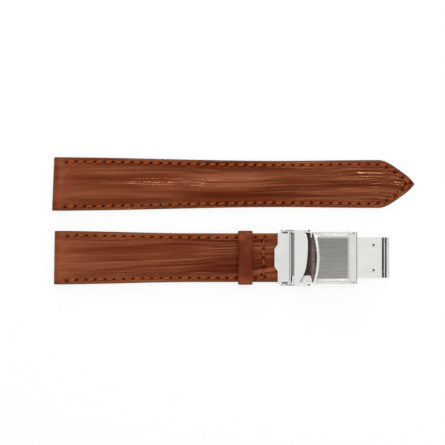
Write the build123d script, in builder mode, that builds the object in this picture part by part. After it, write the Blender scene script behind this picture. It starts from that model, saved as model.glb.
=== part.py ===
from build123d import *
import os
from math import asin, degrees, sqrt

os.makedirs("parts", exist_ok=True)

# A two-piece leather watch strap with a fold-over clasp, laid flat with the outside up.
# +X runs along the strap towards the tip and the clasp, +Y towards the long half,
# +Z up from the table. All sizes in millimetres.

# Strap halves
lug_width = 20.0
long_length = 135.0
long_waist_width = 17.3
long_tail_width = 17.9
tip_length = 14.2
short_width = 18.2
row_pitch = 27.5
short_setback = 0.5
short_reach = 86.1
short_taper_length = 53.0

# Leather layers, from the table up
lining_thickness = 1.0
leather_thickness = 1.1
lug_thickness = 3.6
lug_fold_length = 6.0
lug_shoulder_length = 3.6
lug_slope_length = 1.6
lug_bar_radius = 1.0
lug_bar_inset = 2.2
crown_edge_inset = 2.7
crown_end_inset = 3.0
pad_shoulder = 0.9

# Stitching
stitch_inset = 1.6
stitch_pitch = 3.5
stitch_length = 2.5
stitch_width = 0.75
stitch_height = 0.3
stitch_start = 6.6
stitch_slant_deg = 11.0
cross_row_setback = 8.0
cross_row_pitch = 3.5

# Keeper
keeper_width = 5.45
keeper_leather = 0.75
keeper_clearance = 0.15
keeper_setback = 14.8
keeper_corner_radius = 1.0
keeper_height = 7.0

# Clasp bar and its place in the short half
bar_tube_radius = 0.75
bar_bore_radius = 0.6
bar_tip_radius = 0.4
bar_spring_radius = 0.5
bar_spring_wall = 0.15
bar_crimp_length = 0.25
bar_collar_length = 1.5
running_clearance = 0.04
loop_radius = 1.7
loop_neck_length = 7.2

# Arched blades: one centre for every arc, rises counted from the base blade's underside
arch_radius = 78.0
hinge_reach = 37.2
lip_reach = 1.8
lip_width = 0.95
base_thickness = 0.8
blade_gap = 0.12
upper_thickness = 0.8
floor_thickness = 0.6
tail_space = 2.9
cover_gap = 0.1
cover_thickness = 1.1
blade_width = 15.1

# Clasp end frame
frame_width = 19.3
frame_wall = 0.65
plate_thickness = 0.75
plate_edge_bevel = 0.15
plate_roll_radius = 0.5
plate_clearance = 0.25
plate_left_reach = 2.85
plate_right_reach = 1.9
tab_reach = 1.2
tab_base_width = 10.0
tab_tip_width = 6.6
lug_clearance = 0.15
frame_floor_reach = 9.6

# Hinge at the fold
knuckle_radius = 0.5
fold_pin_radius = 0.3
knuckle_split = 9.7
knuckle_side_gap = 0.1
hinge_arm_width = 0.8
hinge_window = 1.0
hinge_recess_depth = 0.35
adjust_hole_radius = 0.5
adjust_hole_reach = 4.23
adjust_hole_spacing = 9.4
blade_groove_width = 1.4
blade_groove_depth = 0.1

# Upper assembly
upper_left_reach = 9.9
tail_frame_right_reach = 26.6
catch_reach = 12.7
catch_length = 1.2
catch_width = 3.2
catch_nose = 0.3
catch_slot_clearance = 0.5
clamp_reach = 17.5
tooth_pitch = 0.9
tooth_height = 0.55
tooth_count = 3
clamp_width = 14.0
grip_seat_gap = 0.05
rivet_reach = 5.9
rivet_spacing = 8.0
rivet_radius = 0.6
rivet_head_radius = 1.0
rivet_head_height = 0.3

# Cover
cover_overhang = 0.05
cover_edge_depth = 1.7
cover_slope_length = 3.5
cover_pin_radius = 0.4
cover_knuckle_radius = 0.8
cover_knuckle_clearance = 2.2
cover_ear_length = 2.3
rail_width = 1.3
rail_drop = 0.35
dish_depth = 0.45
dish_left_inset = 0.75
edge_bevel = 0.3

# Safety flap
flap_side_gap = 0.15
flap_thickness = 0.6
flap_tail_radius = 1.8
flap_length = 9.35
flap_plate_thickness = 0.8
flap_plate_left = 3.4
flap_plate_right = 8.4
flap_plate_low = 3.3
flap_rise = 1.5
flap_cheek_depth = 1.6

overrun = 5.0

# Places worked out from the sizes above
cover_width = frame_width + 2 * cover_overhang
flap_width = frame_width + 2 * (flap_side_gap + flap_thickness)
lug_skew = (flap_width - lug_width) / 4
long_y = row_pitch / 2 + lug_skew
short_y = -row_pitch / 2 + lug_skew
long_left = -long_length / 2
long_tip = long_length / 2
short_left = long_left + short_setback
bar_x = short_left + short_reach
short_bottom = keeper_leather + keeper_clearance
border_height = lining_thickness + leather_thickness
bar_z = short_bottom + loop_radius
hinge_x = bar_x + hinge_reach
lip_right = hinge_x + lip_reach
arch_mid_x = (bar_x + hinge_x) / 2
arch_centre_z = -sqrt(arch_radius**2 - (lip_right - arch_mid_x) ** 2)
long_top = Plane((0, long_y, 0))
short_top = Plane((0, short_y, short_bottom))
long_side = Plane((0, long_y, 0), x_dir=(1, 0, 0), z_dir=(0, -1, 0))
short_side = Plane((0, short_y, short_bottom), x_dir=(1, 0, 0), z_dir=(0, -1, 0))
clasp_side = Plane((0, short_y, 0), x_dir=(1, 0, 0), z_dir=(0, -1, 0))
clasp_top = Plane((0, short_y, 0))


def arch_z(x, rise):
    """Height of the arc that lies the given rise above the base blade's underside, at x."""
    return arch_centre_z + sqrt((arch_radius + rise) ** 2 - (x - arch_mid_x) ** 2)


def arch_plane(x, rise):
    """Plane tangent to an arc at x, with its z axis pointing out of the arch."""
    lean = asin((x - arch_mid_x) / (arch_radius + rise))
    normal = Vector(0, 0, 1).rotate(Axis.Y, degrees(lean))
    tangent = Vector(1, 0, 0).rotate(Axis.Y, degrees(lean))
    return Plane((x, short_y, arch_z(x, rise)), x_dir=tangent, z_dir=normal)


def arch_band(low, high, left, right):
    """Side profile of an arched strip between two rises, cut upright at both ends."""
    middle = (left + right) / 2
    with BuildSketch(clasp_side) as band:
        with BuildLine():
            under = [(x, arch_z(x, low)) for x in (left, middle, right)]
            over = [(x, arch_z(x, high)) for x in (right, middle, left)]
            ThreePointArc(*under)
            Line(under[-1], over[0])
            ThreePointArc(*over)
            Line(over[-1], under[0])
        make_face()
    return band.sketch


def crown_section(x, centre_y, floor_z, half_width, wall_height, crown_height):
    """Cross-section of a padded strap at x: flat base, upright sides and one arc over them."""
    with BuildSketch(Plane((x, centre_y, floor_z), x_dir=(0, 1, 0), z_dir=(1, 0, 0))) as section:
        with BuildLine():
            Line((-half_width, wall_height), (-half_width, 0))
            Line((-half_width, 0), (half_width, 0))
            Line((half_width, 0), (half_width, wall_height))
            ThreePointArc((half_width, wall_height), (0, crown_height), (-half_width, wall_height))
        make_face()
    return section.sketch


def pad_section(x, centre_y, floor_z, half_width, crown_height):
    """Cross-section of the padding at x: flat base under one arc."""
    with BuildSketch(Plane((x, centre_y, floor_z), x_dir=(0, 1, 0), z_dir=(1, 0, 0))) as section:
        with BuildLine():
            Line((-half_width, 0), (half_width, 0))
            ThreePointArc((half_width, 0), (0, crown_height), (-half_width, 0))
        make_face()
    return section.sketch


def inset_path(side, inset, samples):
    """Points a steady inset inside one side of an outline, as far as the middle line."""
    path = []
    for step in range(samples + 1):
        point = side @ (step / samples)
        along = side % (step / samples)
        inside = point + Vector(along.Y, -along.X) * inset
        if inside.Y > 0:
            path.append(inside)
    return path


def stitch_places(path, start, end, mirrored):
    """Evenly spaced places along a path between two distances, each turned to the path and slanted."""
    runs = [0.0]
    for before, after in zip(path, path[1:]):
        runs.append(runs[-1] + (after - before).length)
    count = round((runs[-1] - end - start) / stitch_pitch)
    pitch = (runs[-1] - end - start) / count
    places = []
    for number in range(count + 1):
        reach = start + number * pitch
        k = max(i for i, run in enumerate(runs[:-1]) if run <= reach)
        share = (reach - runs[k]) / (runs[k + 1] - runs[k])
        point = path[k] + (path[k + 1] - path[k]) * share
        turn = degrees(asin((path[k + 1] - path[k]).normalized().Y))
        if mirrored:
            places.append(Location((point.X, -point.Y), -turn + stitch_slant_deg))
        else:
            places.append(Location((point.X, point.Y), turn + stitch_slant_deg))
    return places


def stitch_outline():
    """One stitch seen from above: a thread length with tapered ends."""
    half = stitch_length / 2
    neck = stitch_length / 4
    side = stitch_width / 2
    points = [(-half, 0), (-neck, -side), (neck, -side), (half, 0), (neck, side), (-neck, side)]
    with BuildSketch() as stitch:
        Polygon(*points, align=None)
    return stitch.sketch


# Outline of the long half: lug, waist, tail, and a tip with a rounded shoulder and straight flanks
waist_share = 0.64
tip_shares = [(0.17, 0.975), (0.437, 0.764), (0.637, 0.54), (0.838, 0.3)]
with BuildLine() as long_edge:
    shoulder = long_tip - tip_length
    half_tail = long_tail_width / 2
    waist_x = long_left + long_length * waist_share
    Spline(
        (long_left, lug_width / 2),
        (waist_x, long_waist_width / 2),
        (shoulder, half_tail),
        tangents=((1, 0), (1, 0)),
    )
    flank = [(shoulder + tip_length * along, half_tail * across) for along, across in tip_shares]
    Spline((shoulder, half_tail), *flank, (long_tip, 0))
long_upper = long_edge.wires()[0]
with BuildSketch() as long_outline:
    with BuildLine():
        add(long_edge.line)
        mirror(long_edge.line, about=Plane.XZ)
        Line((long_left, lug_width / 2), (long_left, -lug_width / 2))
    make_face()

# Outline of the short half: lug, taper, then parallel to the clasp bar
taper_end = short_left + short_taper_length
neck_left = bar_x - loop_neck_length
step_x = bar_x - plate_left_reach - tab_reach
loop_width = frame_width - 2 * frame_wall - 2 * lug_clearance
with BuildLine() as short_edge:
    Spline(
        (short_left, lug_width / 2),
        (taper_end, short_width / 2),
        tangents=((1, 0), (1, 0)),
    )
    Line((taper_end, short_width / 2), (step_x, short_width / 2))
short_upper = short_edge.wires()[0]
with BuildSketch() as short_outline:
    with BuildLine():
        add(short_edge.line)
        mirror(short_edge.line, about=Plane.XZ)
        Line((short_left, lug_width / 2), (short_left, -lug_width / 2))
        Line((step_x, short_width / 2), (step_x, -short_width / 2))
    make_face()

# Crown of each half: share of its length, and the height of the middle above the flat border
long_crown_length = long_length - crown_end_inset - tip_length / 2
long_crown_height = 2.5
long_crown_shares = [
    (0.0, 0.58), (0.03, 0.72), (0.07, 0.9), (0.12, 0.98), (0.2, 0.97), (0.32, 0.88),
    (0.45, 0.75), (0.6, 0.58), (0.75, 0.42), (0.88, 0.29), (0.95, 0.19), (1.0, 0.04),
]
long_crown_tip_shares = [1.0, 1.0, 1.0, 1.0, 1.0, 1.0, 1.0, 1.0, 1.0, 0.98, 0.8, 0.42]
short_crown_height = 2.5
short_crown_shares = [
    (0.0, 0.58), (0.03, 0.69), (0.06, 0.79), (0.1, 0.9), (0.17, 0.98), (0.25, 0.96), (0.34, 0.9), (0.43, 0.81),
    (0.51, 0.72), (0.59, 0.63), (0.67, 0.54), (0.76, 0.45), (0.85, 0.37), (0.92, 0.29), (0.97, 0.18), (1.0, 0.04),
]
short_crown_tip_shares = [1.0] * 14 + [0.98, 0.92]
short_crown_length = short_reach - crown_end_inset - cross_row_setback - crown_edge_inset


def half_width_at(upper, x):
    """Half width of an outline at x, by halving the stretch between two shares of its edge."""
    low = 0.0
    high = 1.0
    for _ in range(30):
        middle = (low + high) / 2
        if (upper @ middle).X < x:
            low = middle
        else:
            high = middle
    return (upper @ low).Y


def crown_table(upper, left, length, height, shares, tip_shares):
    """Places of the crown's cross-sections: x, half width, and height above the border."""
    table = []
    for (along, up), across in zip(shares, tip_shares):
        x = left + crown_end_inset + length * along
        reach = half_width_at(upper, x) - crown_edge_inset
        table.append((x, reach * across, height * up))
    return table


long_crown = crown_table(
    long_upper, long_left, long_crown_length, long_crown_height, long_crown_shares, long_crown_tip_shares
)
short_crown = crown_table(
    short_upper, short_left, short_crown_length, short_crown_height, short_crown_shares, short_crown_tip_shares
)


def lug_fold(left):
    """Side profile of a lug end: leather folded round the watch's bar, sloping down to the border."""
    radius = lug_thickness / 2
    fold_end = left + lug_fold_length
    shoulder_end = left + lug_shoulder_length
    slope_end = shoulder_end + lug_slope_length
    with BuildLine() as edge:
        ThreePointArc((left + radius, lug_thickness), (left, radius), (left + radius, 0))
        Line((left + radius, 0), (fold_end, 0))
        Line((fold_end, 0), (fold_end, border_height))
        Line((fold_end, border_height), (slope_end, border_height))
        Line((slope_end, border_height), (shoulder_end, lug_thickness))
        Line((shoulder_end, lug_thickness), (left + radius, lug_thickness))
    return edge.line


# Padding under the long half's leather
long_pad_sections = [
    pad_section(x, long_y, lining_thickness, reach - pad_shoulder, height)
    for x, reach, height in long_crown[1:-1]
]
with BuildPart() as long_padding:
    loft(long_pad_sections, ruled=True)
long_padding.part.label = "long_padding"
export_step(long_padding.part, "parts/long_padding.step")

# Long half, top leather: flat border, domed middle, and the fold round the watch's bar
with BuildSketch(long_side) as long_fold:
    with BuildLine():
        add(lug_fold(long_left))
    make_face()
with BuildPart() as long_top_leather:
    with BuildSketch(long_top.offset(lining_thickness)):
        add(long_outline.sketch)
    extrude(amount=leather_thickness)
    with BuildSketch(long_top.offset(-overrun)):
        with Locations((long_left, 0)):
            Rectangle(lug_thickness, lug_width + overrun)
    extrude(amount=overrun + lug_thickness * 2, mode=Mode.SUBTRACT)
    extrude(long_fold.sketch, amount=lug_width / 2, both=True)
    loft([
        crown_section(x, long_y, lining_thickness, reach, leather_thickness, leather_thickness + height)
        for x, reach, height in long_crown
    ], ruled=True)
    with BuildSketch(Plane((0, long_y, lug_thickness / 2), x_dir=(1, 0, 0), z_dir=(0, -1, 0))):
        with Locations((long_left + lug_bar_inset, 0)):
            Circle(lug_bar_radius)
    extrude(amount=lug_width, both=True, mode=Mode.SUBTRACT)
    add(long_padding.part, mode=Mode.SUBTRACT)
long_top_leather.part.label = "long_top_leather"
export_step(long_top_leather.part, "parts/long_top_leather.step")

# Long half, lining leather: flat, from the fold to the tip
with BuildPart() as long_lining:
    with BuildSketch(long_top):
        add(long_outline.sketch)
        with Locations((long_left + lug_fold_length / 2, 0)):
            Rectangle(lug_fold_length, lug_width * 2, mode=Mode.SUBTRACT)
    extrude(amount=lining_thickness)
long_lining.part.label = "long_lining"
export_step(long_lining.part, "parts/long_lining.step")

# Long half, stitching: one row up each side, meeting at the tip
seam_samples = 240
long_seam = inset_path(long_upper, stitch_inset, seam_samples)
long_stitch_places = stitch_places(long_seam, stitch_start, stitch_length / 2, False)
long_stitch_places += stitch_places(long_seam, stitch_start, stitch_length / 2, True)
with BuildPart() as long_stitching:
    with BuildSketch(long_top.offset(border_height)):
        with Locations(*long_stitch_places):
            add(stitch_outline())
    extrude(amount=stitch_height)
long_stitching.part.label = "long_stitching"
export_step(long_stitching.part, "parts/long_stitching.step")

# Padding under the short half's leather
with BuildPart() as short_padding:
    loft([
        pad_section(x, short_y, short_bottom + lining_thickness, reach - pad_shoulder, height)
        for x, reach, height in short_crown[1:-1]
    ], ruled=True)
short_padding.part.label = "short_padding"
export_step(short_padding.part, "parts/short_padding.step")

# Short half, top leather: folded round the watch's bar at one end and round the clasp's bar at the other
with BuildSketch(short_side) as short_fold:
    with BuildLine():
        add(lug_fold(short_left))
    make_face()
neck_rise = 0.35
with BuildSketch(short_side) as bar_loop:
    with BuildLine():
        Line((neck_left, 0), (bar_x, 0))
        ThreePointArc((bar_x, 0), (bar_x + loop_radius, loop_radius), (bar_x, loop_radius * 2))
        Line((bar_x, loop_radius * 2), (neck_left, border_height + neck_rise))
        Line((neck_left, border_height + neck_rise), (neck_left, 0))
    make_face()
with BuildPart() as short_top_leather:
    with BuildSketch(short_top.offset(lining_thickness)):
        add(short_outline.sketch)
    extrude(amount=leather_thickness)
    with BuildSketch(short_top.offset(-overrun)):
        with Locations((short_left, 0)):
            Rectangle(lug_thickness, lug_width + overrun)
    extrude(amount=overrun + lug_thickness * 2, mode=Mode.SUBTRACT)
    extrude(short_fold.sketch, amount=lug_width / 2, both=True)
    extrude(bar_loop.sketch, amount=loop_width / 2, both=True)
    loft([
        crown_section(x, short_y, short_bottom + lining_thickness, reach, leather_thickness, leather_thickness + height)
        for x, reach, height in short_crown
    ], ruled=True)
    with BuildSketch(Plane((0, short_y, short_bottom + lug_thickness / 2), x_dir=(1, 0, 0), z_dir=(0, -1, 0))):
        with Locations((short_left + lug_bar_inset, 0)):
            Circle(lug_bar_radius)
    extrude(amount=lug_width, both=True, mode=Mode.SUBTRACT)
    with BuildSketch(clasp_side):
        with Locations((bar_x, bar_z)):
            Circle(bar_tube_radius + running_clearance)
    extrude(amount=lug_width, both=True, mode=Mode.SUBTRACT)
    add(short_padding.part, mode=Mode.SUBTRACT)
short_top_leather.part.label = "short_top_leather"
export_step(short_top_leather.part, "parts/short_top_leather.step")

# Short half, lining leather: flat, between the two folds
with BuildPart() as short_lining:
    with BuildSketch(short_top):
        add(short_outline.sketch)
        with Locations((short_left + lug_fold_length / 2, 0)):
            Rectangle(lug_fold_length, lug_width * 2, mode=Mode.SUBTRACT)
        with Locations(((neck_left + bar_x) / 2, 0)):
            Rectangle(bar_x - neck_left, lug_width * 2, mode=Mode.SUBTRACT)
    extrude(amount=lining_thickness)
short_lining.part.label = "short_lining"
export_step(short_lining.part, "parts/short_lining.step")

# Short half, stitching: one row up each side and one across in front of the clasp
short_seam = inset_path(short_upper, stitch_inset, seam_samples)
row_end = cross_row_setback - plate_left_reach - tab_reach + stitch_length / 2
short_stitch_places = stitch_places(short_seam, stitch_start, row_end, False)
short_stitch_places += stitch_places(short_seam, stitch_start, row_end, True)
cross_row_x = bar_x - cross_row_setback
cross_row_count = int((short_width - 2 * stitch_inset) // cross_row_pitch)
with BuildPart() as short_stitching:
    with BuildSketch(short_top.offset(border_height)):
        with Locations(*short_stitch_places):
            add(stitch_outline())
        with Locations(Location((cross_row_x, 0), 90)):
            with GridLocations(cross_row_pitch, 0, cross_row_count, 1):
                add(stitch_outline())
    extrude(amount=stitch_height)
short_stitching.part.label = "short_stitching"
export_step(short_stitching.part, "parts/short_stitching.step")

# Keeper: a closed leather loop round the short half
keeper_left = bar_x - keeper_setback - keeper_width / 2
keeper_inner_width = short_width + 2 * keeper_clearance
with BuildPart() as keeper:
    with BuildSketch(Plane((keeper_left, short_y, keeper_height / 2), x_dir=(0, 1, 0), z_dir=(1, 0, 0))):
        RectangleRounded(keeper_inner_width + 2 * keeper_leather, keeper_height, keeper_corner_radius)
        RectangleRounded(
            keeper_inner_width,
            keeper_height - 2 * keeper_leather,
            keeper_corner_radius - keeper_leather,
            mode=Mode.SUBTRACT,
        )
    extrude(amount=keeper_width)
keeper.part.label = "keeper"
export_step(keeper.part, "parts/keeper.step")

# Clasp bar: a tube with crimped ends, a spring and two plungers whose tips carry the clasp
bar_half = frame_width / 2 - frame_wall - 2 * lug_clearance
tip_reach = flap_width / 2 - lug_clearance
collar_end = bar_half - bar_crimp_length
collar_start = collar_end - bar_collar_length
with BuildPart() as bar_tube:
    with BuildSketch(clasp_side):
        with Locations((bar_x, bar_z)):
            Circle(bar_tube_radius)
            Circle(bar_tip_radius + running_clearance, mode=Mode.SUBTRACT)
    extrude(amount=bar_half, both=True)
    with BuildSketch(clasp_side):
        with Locations((bar_x, bar_z)):
            Circle(bar_bore_radius)
    extrude(amount=collar_end, both=True, mode=Mode.SUBTRACT)
bar_tube.part.label = "bar_tube"
export_step(bar_tube.part, "parts/bar_tube.step")

with BuildPart() as bar_spring:
    with BuildSketch(clasp_side):
        with Locations((bar_x, bar_z)):
            Circle(bar_spring_radius)
            Circle(bar_spring_radius - bar_spring_wall, mode=Mode.SUBTRACT)
    extrude(amount=collar_start, both=True)
bar_spring.part.label = "bar_spring"
export_step(bar_spring.part, "parts/bar_spring.step")

for plunger_name, outward in (("bar_plunger_front", -1), ("bar_plunger_rear", 1)):
    with BuildPart() as plunger:
        with BuildSketch(Plane((bar_x, short_y + outward * collar_start, bar_z), z_dir=(0, outward, 0))):
            Circle(bar_bore_radius - running_clearance)
        extrude(amount=collar_end - collar_start)
        with BuildSketch(Plane((bar_x, short_y + outward * collar_end, bar_z), z_dir=(0, outward, 0))):
            Circle(bar_tip_radius)
        extrude(amount=tip_reach - collar_end)
        chamfer(plunger.edges().sort_by(Axis.Y)[-1 if outward > 0 else 0], bar_tip_radius / 3)
    plunger.part.label = plunger_name
    export_step(plunger.part, "parts/" + plunger_name + ".step")

# Clasp end frame: the polished plate with its tab, two side lugs and the floor that carries the blade
plate_low = bar_z + loop_radius + plate_clearance
plate_high = plate_low + plate_thickness
plate_left = bar_x - plate_left_reach
plate_right = bar_x + plate_right_reach
frame_floor_left = bar_x + loop_radius + plate_clearance * 2
frame_floor_right = bar_x + frame_floor_reach
frame_floor_rise = base_thickness + floor_thickness
lug_bottom = bar_z - loop_radius + plate_clearance
with BuildSketch(clasp_side) as frame_cheek:
    with BuildLine():
        Polyline(
            (plate_left, plate_high),
            (plate_left, bar_z),
            (bar_x - loop_radius, lug_bottom),
            (frame_floor_left, arch_z(frame_floor_left, base_thickness)),
            (frame_floor_right, arch_z(frame_floor_right, base_thickness)),
            (frame_floor_right, arch_z(frame_floor_right, frame_floor_rise)),
            (frame_floor_left + plate_clearance, arch_z(frame_floor_left, frame_floor_rise) + plate_thickness),
            (plate_right, plate_high),
            close=True,
        )
    make_face()
with BuildPart() as end_frame:
    with BuildSketch(clasp_top.offset(plate_low)):
        with BuildLine():
            Polyline(
                (plate_right, frame_width / 2),
                (plate_left, frame_width / 2),
                (plate_left, tab_base_width / 2),
                (plate_left - tab_reach, tab_tip_width / 2),
                (plate_left - tab_reach, -tab_tip_width / 2),
                (plate_left, -tab_base_width / 2),
                (plate_left, -frame_width / 2),
                (plate_right, -frame_width / 2),
                close=True,
            )
        make_face()
    extrude(amount=plate_thickness)
    fillet(end_frame.faces().sort_by(Axis.Z)[-1].edges().sort_by(Axis.X)[-1], plate_roll_radius)
    chamfer(end_frame.faces().sort_by(Axis.Z)[-1].edges().sort_by(Axis.X)[:-1], plate_edge_bevel)
    for outward in (-1, 1):
        cheek_plane = frame_cheek.sketch.moved(Location((0, outward * (frame_width - frame_wall) / 2, 0)))
        extrude(cheek_plane, amount=frame_wall / 2, both=True)
    extrude(
        arch_band(base_thickness, frame_floor_rise, frame_floor_left, frame_floor_right),
        amount=frame_width / 2,
        both=True,
    )
    with BuildSketch(clasp_side):
        with Locations((bar_x, bar_z)):
            Circle(bar_tip_radius + running_clearance)
    extrude(amount=frame_width, both=True, mode=Mode.SUBTRACT)
    with BuildSketch(arch_plane(bar_x + rivet_reach, 0)):
        with GridLocations(0, rivet_spacing, 1, 2):
            Circle(rivet_radius)
    extrude(amount=overrun, mode=Mode.SUBTRACT)
end_frame.part.label = "end_frame"
export_step(end_frame.part, "parts/end_frame.step")

# Base blade: the arched strip against the wrist, with the recess that the hinge turns in, the centre
# knuckle on its web, and the lip past the hinge
hinge_z = arch_z(hinge_x, base_thickness + blade_gap) + upper_thickness - running_clearance * 2
base_left = frame_floor_left + plate_clearance
blade_right = hinge_x - hinge_window
lip_left = lip_right - lip_width
web_foot = arch_z(hinge_x, base_thickness - hinge_recess_depth * 2)
neck_half = knuckle_split / 2 - knuckle_side_gap
with BuildPart() as base_blade:
    extrude(arch_band(0, base_thickness, base_left, lip_right), amount=blade_width / 2, both=True)
    extrude(
        arch_band(base_thickness - hinge_recess_depth, base_thickness + blade_gap, blade_right, lip_left),
        amount=blade_width,
        both=True,
        mode=Mode.SUBTRACT,
    )
    with BuildSketch(clasp_side):
        with Locations((hinge_x, hinge_z)):
            Circle(knuckle_radius)
        with Locations((hinge_x, (hinge_z + web_foot) / 2)):
            Rectangle(knuckle_radius, hinge_z - web_foot)
    extrude(amount=neck_half, both=True)
    with BuildSketch(clasp_side):
        with Locations((hinge_x, hinge_z)):
            Circle(fold_pin_radius + running_clearance)
    extrude(amount=neck_half, both=True, mode=Mode.SUBTRACT)
    with BuildSketch(arch_plane(bar_x + rivet_reach, 0).offset(-overrun)):
        with GridLocations(0, rivet_spacing, 1, 2):
            Circle(rivet_radius)
    extrude(amount=overrun * 2, mode=Mode.SUBTRACT)
base_blade.part.label = "base_blade"
export_step(base_blade.part, "parts/base_blade.step")

# Rivets that hold the base blade under the end frame's floor
rivet_length = frame_floor_rise - rivet_head_height / 2
with BuildPart() as blade_rivets:
    with BuildSketch(arch_plane(bar_x + rivet_reach, 0).offset(rivet_head_height / 2)):
        with GridLocations(0, rivet_spacing, 1, 2):
            Circle(rivet_radius)
    extrude(amount=rivet_length)
    with BuildSketch(arch_plane(bar_x + rivet_reach, 0).offset(frame_floor_rise)):
        with GridLocations(0, rivet_spacing, 1, 2):
            Circle(rivet_head_radius)
    extrude(amount=rivet_head_height)
blade_rivets.part.label = "blade_rivets"
export_step(blade_rivets.part, "parts/blade_rivets.step")

# Catch hook on the base blade, which stands in the upper blade's slot when the clasp is shut
catch_x = bar_x + catch_reach
catch_rise = blade_gap + upper_thickness + floor_thickness / 2
catch_plane = arch_plane(catch_x, base_thickness)
with BuildPart() as catch_hook:
    with BuildSketch(Plane(catch_plane.origin, x_dir=catch_plane.x_dir, z_dir=(0, -1, 0))):
        with BuildLine():
            Polyline(
                (-catch_length / 2, 0),
                (catch_length / 2, 0),
                (catch_length / 2, catch_rise * 2 / 3),
                (catch_length / 4, catch_rise),
                (-catch_length / 2, catch_rise),
                (-catch_length / 2 - catch_nose, catch_rise * 3 / 4),
                (-catch_length / 2, catch_rise * 3 / 4),
                close=True,
            )
        make_face()
    extrude(amount=catch_width / 2, both=True)
catch_hook.part.label = "catch_hook"
export_step(catch_hook.part, "parts/catch_hook.step")

# Upper blade: the arched strip that folds over the base blade, with two small holes in shallow grooves and
# two narrow arms round the pin
upper_low = base_thickness + blade_gap
upper_high = upper_low + upper_thickness
upper_left = bar_x + upper_left_reach
with BuildSketch(catch_plane) as catch_slot:
    Rectangle(catch_length + 2 * catch_nose + 2 * catch_slot_clearance, catch_width + 2 * catch_slot_clearance)
with BuildPart() as upper_blade:
    extrude(arch_band(upper_low, upper_high, upper_left, blade_right), amount=blade_width / 2, both=True)
    for outward in (-1, 1):
        arm_y = short_y + outward * (knuckle_split + hinge_arm_width) / 2
        with BuildSketch(Plane((0, arm_y, 0), x_dir=(1, 0, 0), z_dir=(0, -1, 0))):
            with Locations((hinge_x, hinge_z)):
                Circle(knuckle_radius)
            with BuildLine():
                Polyline(
                    (blade_right, arch_z(blade_right, upper_low)),
                    (hinge_x, hinge_z - knuckle_radius),
                    (hinge_x, hinge_z),
                    (blade_right, arch_z(blade_right, upper_high)),
                    close=True,
                )
            make_face()
        extrude(amount=hinge_arm_width / 2, both=True)
        groove = arch_band(upper_high - blade_groove_depth, upper_high + blade_groove_depth, upper_left, blade_right)
        groove = groove.moved(Location((0, outward * adjust_hole_spacing / 2, 0)))
        extrude(groove, amount=blade_groove_width / 2, both=True, mode=Mode.SUBTRACT)
    with BuildSketch(clasp_side):
        with Locations((hinge_x, hinge_z)):
            Circle(fold_pin_radius)
    extrude(amount=blade_width, both=True, mode=Mode.SUBTRACT)
    extrude(catch_slot.sketch, amount=overrun, both=True, mode=Mode.SUBTRACT)
    with BuildSketch(arch_plane(hinge_x - adjust_hole_reach, upper_low).offset(-overrun)):
        with GridLocations(0, adjust_hole_spacing, 1, 2):
            Circle(adjust_hole_radius)
    extrude(amount=overrun * 2, mode=Mode.SUBTRACT)
upper_blade.part.label = "upper_blade"
export_step(upper_blade.part, "parts/upper_blade.step")

# Fold pin through the arms and the centre knuckle
with BuildPart() as fold_pin:
    with BuildSketch(clasp_side):
        with Locations((hinge_x, hinge_z)):
            Circle(fold_pin_radius)
    extrude(amount=blade_width / 2, both=True)
fold_pin.part.label = "fold_pin"
export_step(fold_pin.part, "parts/fold_pin.step")

# Tail frame: floor on the upper blade and two side walls, with ears round the cover's pin
tail_frame_right = bar_x + tail_frame_right_reach
floor_high = upper_high + floor_thickness
wall_high = floor_high + tail_space
cover_low = wall_high + cover_gap
cover_high = cover_low + cover_thickness
cover_right = bar_x + tail_frame_right_reach + plate_clearance
cover_pin_x = cover_right - cover_knuckle_radius
cover_pin_z = arch_z(cover_pin_x, floor_high) + cover_knuckle_clearance + cover_knuckle_radius
cover_slope_left = cover_right - cover_slope_length
ear_left = cover_pin_x - cover_ear_length
with BuildPart() as tail_frame:
    extrude(arch_band(upper_high, floor_high, upper_left, tail_frame_right), amount=frame_width / 2, both=True)
    for outward in (-1, 1):
        wall_plane = Plane(
            (0, short_y + outward * (frame_width - frame_wall) / 2, 0), x_dir=(1, 0, 0), z_dir=(0, -1, 0)
        )
        wall_middle = (upper_left + ear_left) / 2
        with BuildSketch(wall_plane):
            with BuildLine():
                foot = [(x, arch_z(x, floor_high - floor_thickness / 2)) for x in (upper_left, tail_frame_right)]
                crest = [(x, arch_z(x, wall_high)) for x in (ear_left, wall_middle, upper_left)]
                Line(*foot)
                Line(foot[1], (tail_frame_right, cover_pin_z))
                Line((tail_frame_right, cover_pin_z), crest[0])
                ThreePointArc(*crest)
                Line(crest[-1], foot[0])
            make_face()
            with Locations((cover_pin_x, cover_pin_z)):
                Circle(cover_knuckle_radius)
                Circle(cover_pin_radius, mode=Mode.SUBTRACT)
        extrude(amount=frame_wall / 2, both=True)
    extrude(catch_slot.sketch, amount=overrun, both=True, mode=Mode.SUBTRACT)
tail_frame.part.label = "tail_frame"
export_step(tail_frame.part, "parts/tail_frame.step")


def toothed_bar(up):
    """Side profile of a toothed bar: a flat back and a row of ridges, pointing up or down."""
    half = tooth_pitch * tooth_count / 2
    points = [(half, 0), (-half, 0)]
    for number in range(tooth_count):
        start = -half + number * tooth_pitch
        points.append((start, up * tooth_height / 2))
        points.append((start + tooth_pitch / 2, up * tooth_height))
    points.append((half, up * tooth_height / 2))
    return points


# Clamp bar on the tail frame's floor, which bites the tail's lining
clamp_x = bar_x + clamp_reach
clamp_plane = arch_plane(clamp_x, floor_high)
with BuildPart() as clamp_bar:
    with BuildSketch(Plane(clamp_plane.origin, x_dir=clamp_plane.x_dir, z_dir=(0, -1, 0))):
        with BuildLine():
            Polyline(*toothed_bar(1), close=True)
        make_face()
    extrude(amount=clamp_width / 2, both=True)
clamp_bar.part.label = "clamp_bar"
export_step(clamp_bar.part, "parts/clamp_bar.step")

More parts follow.
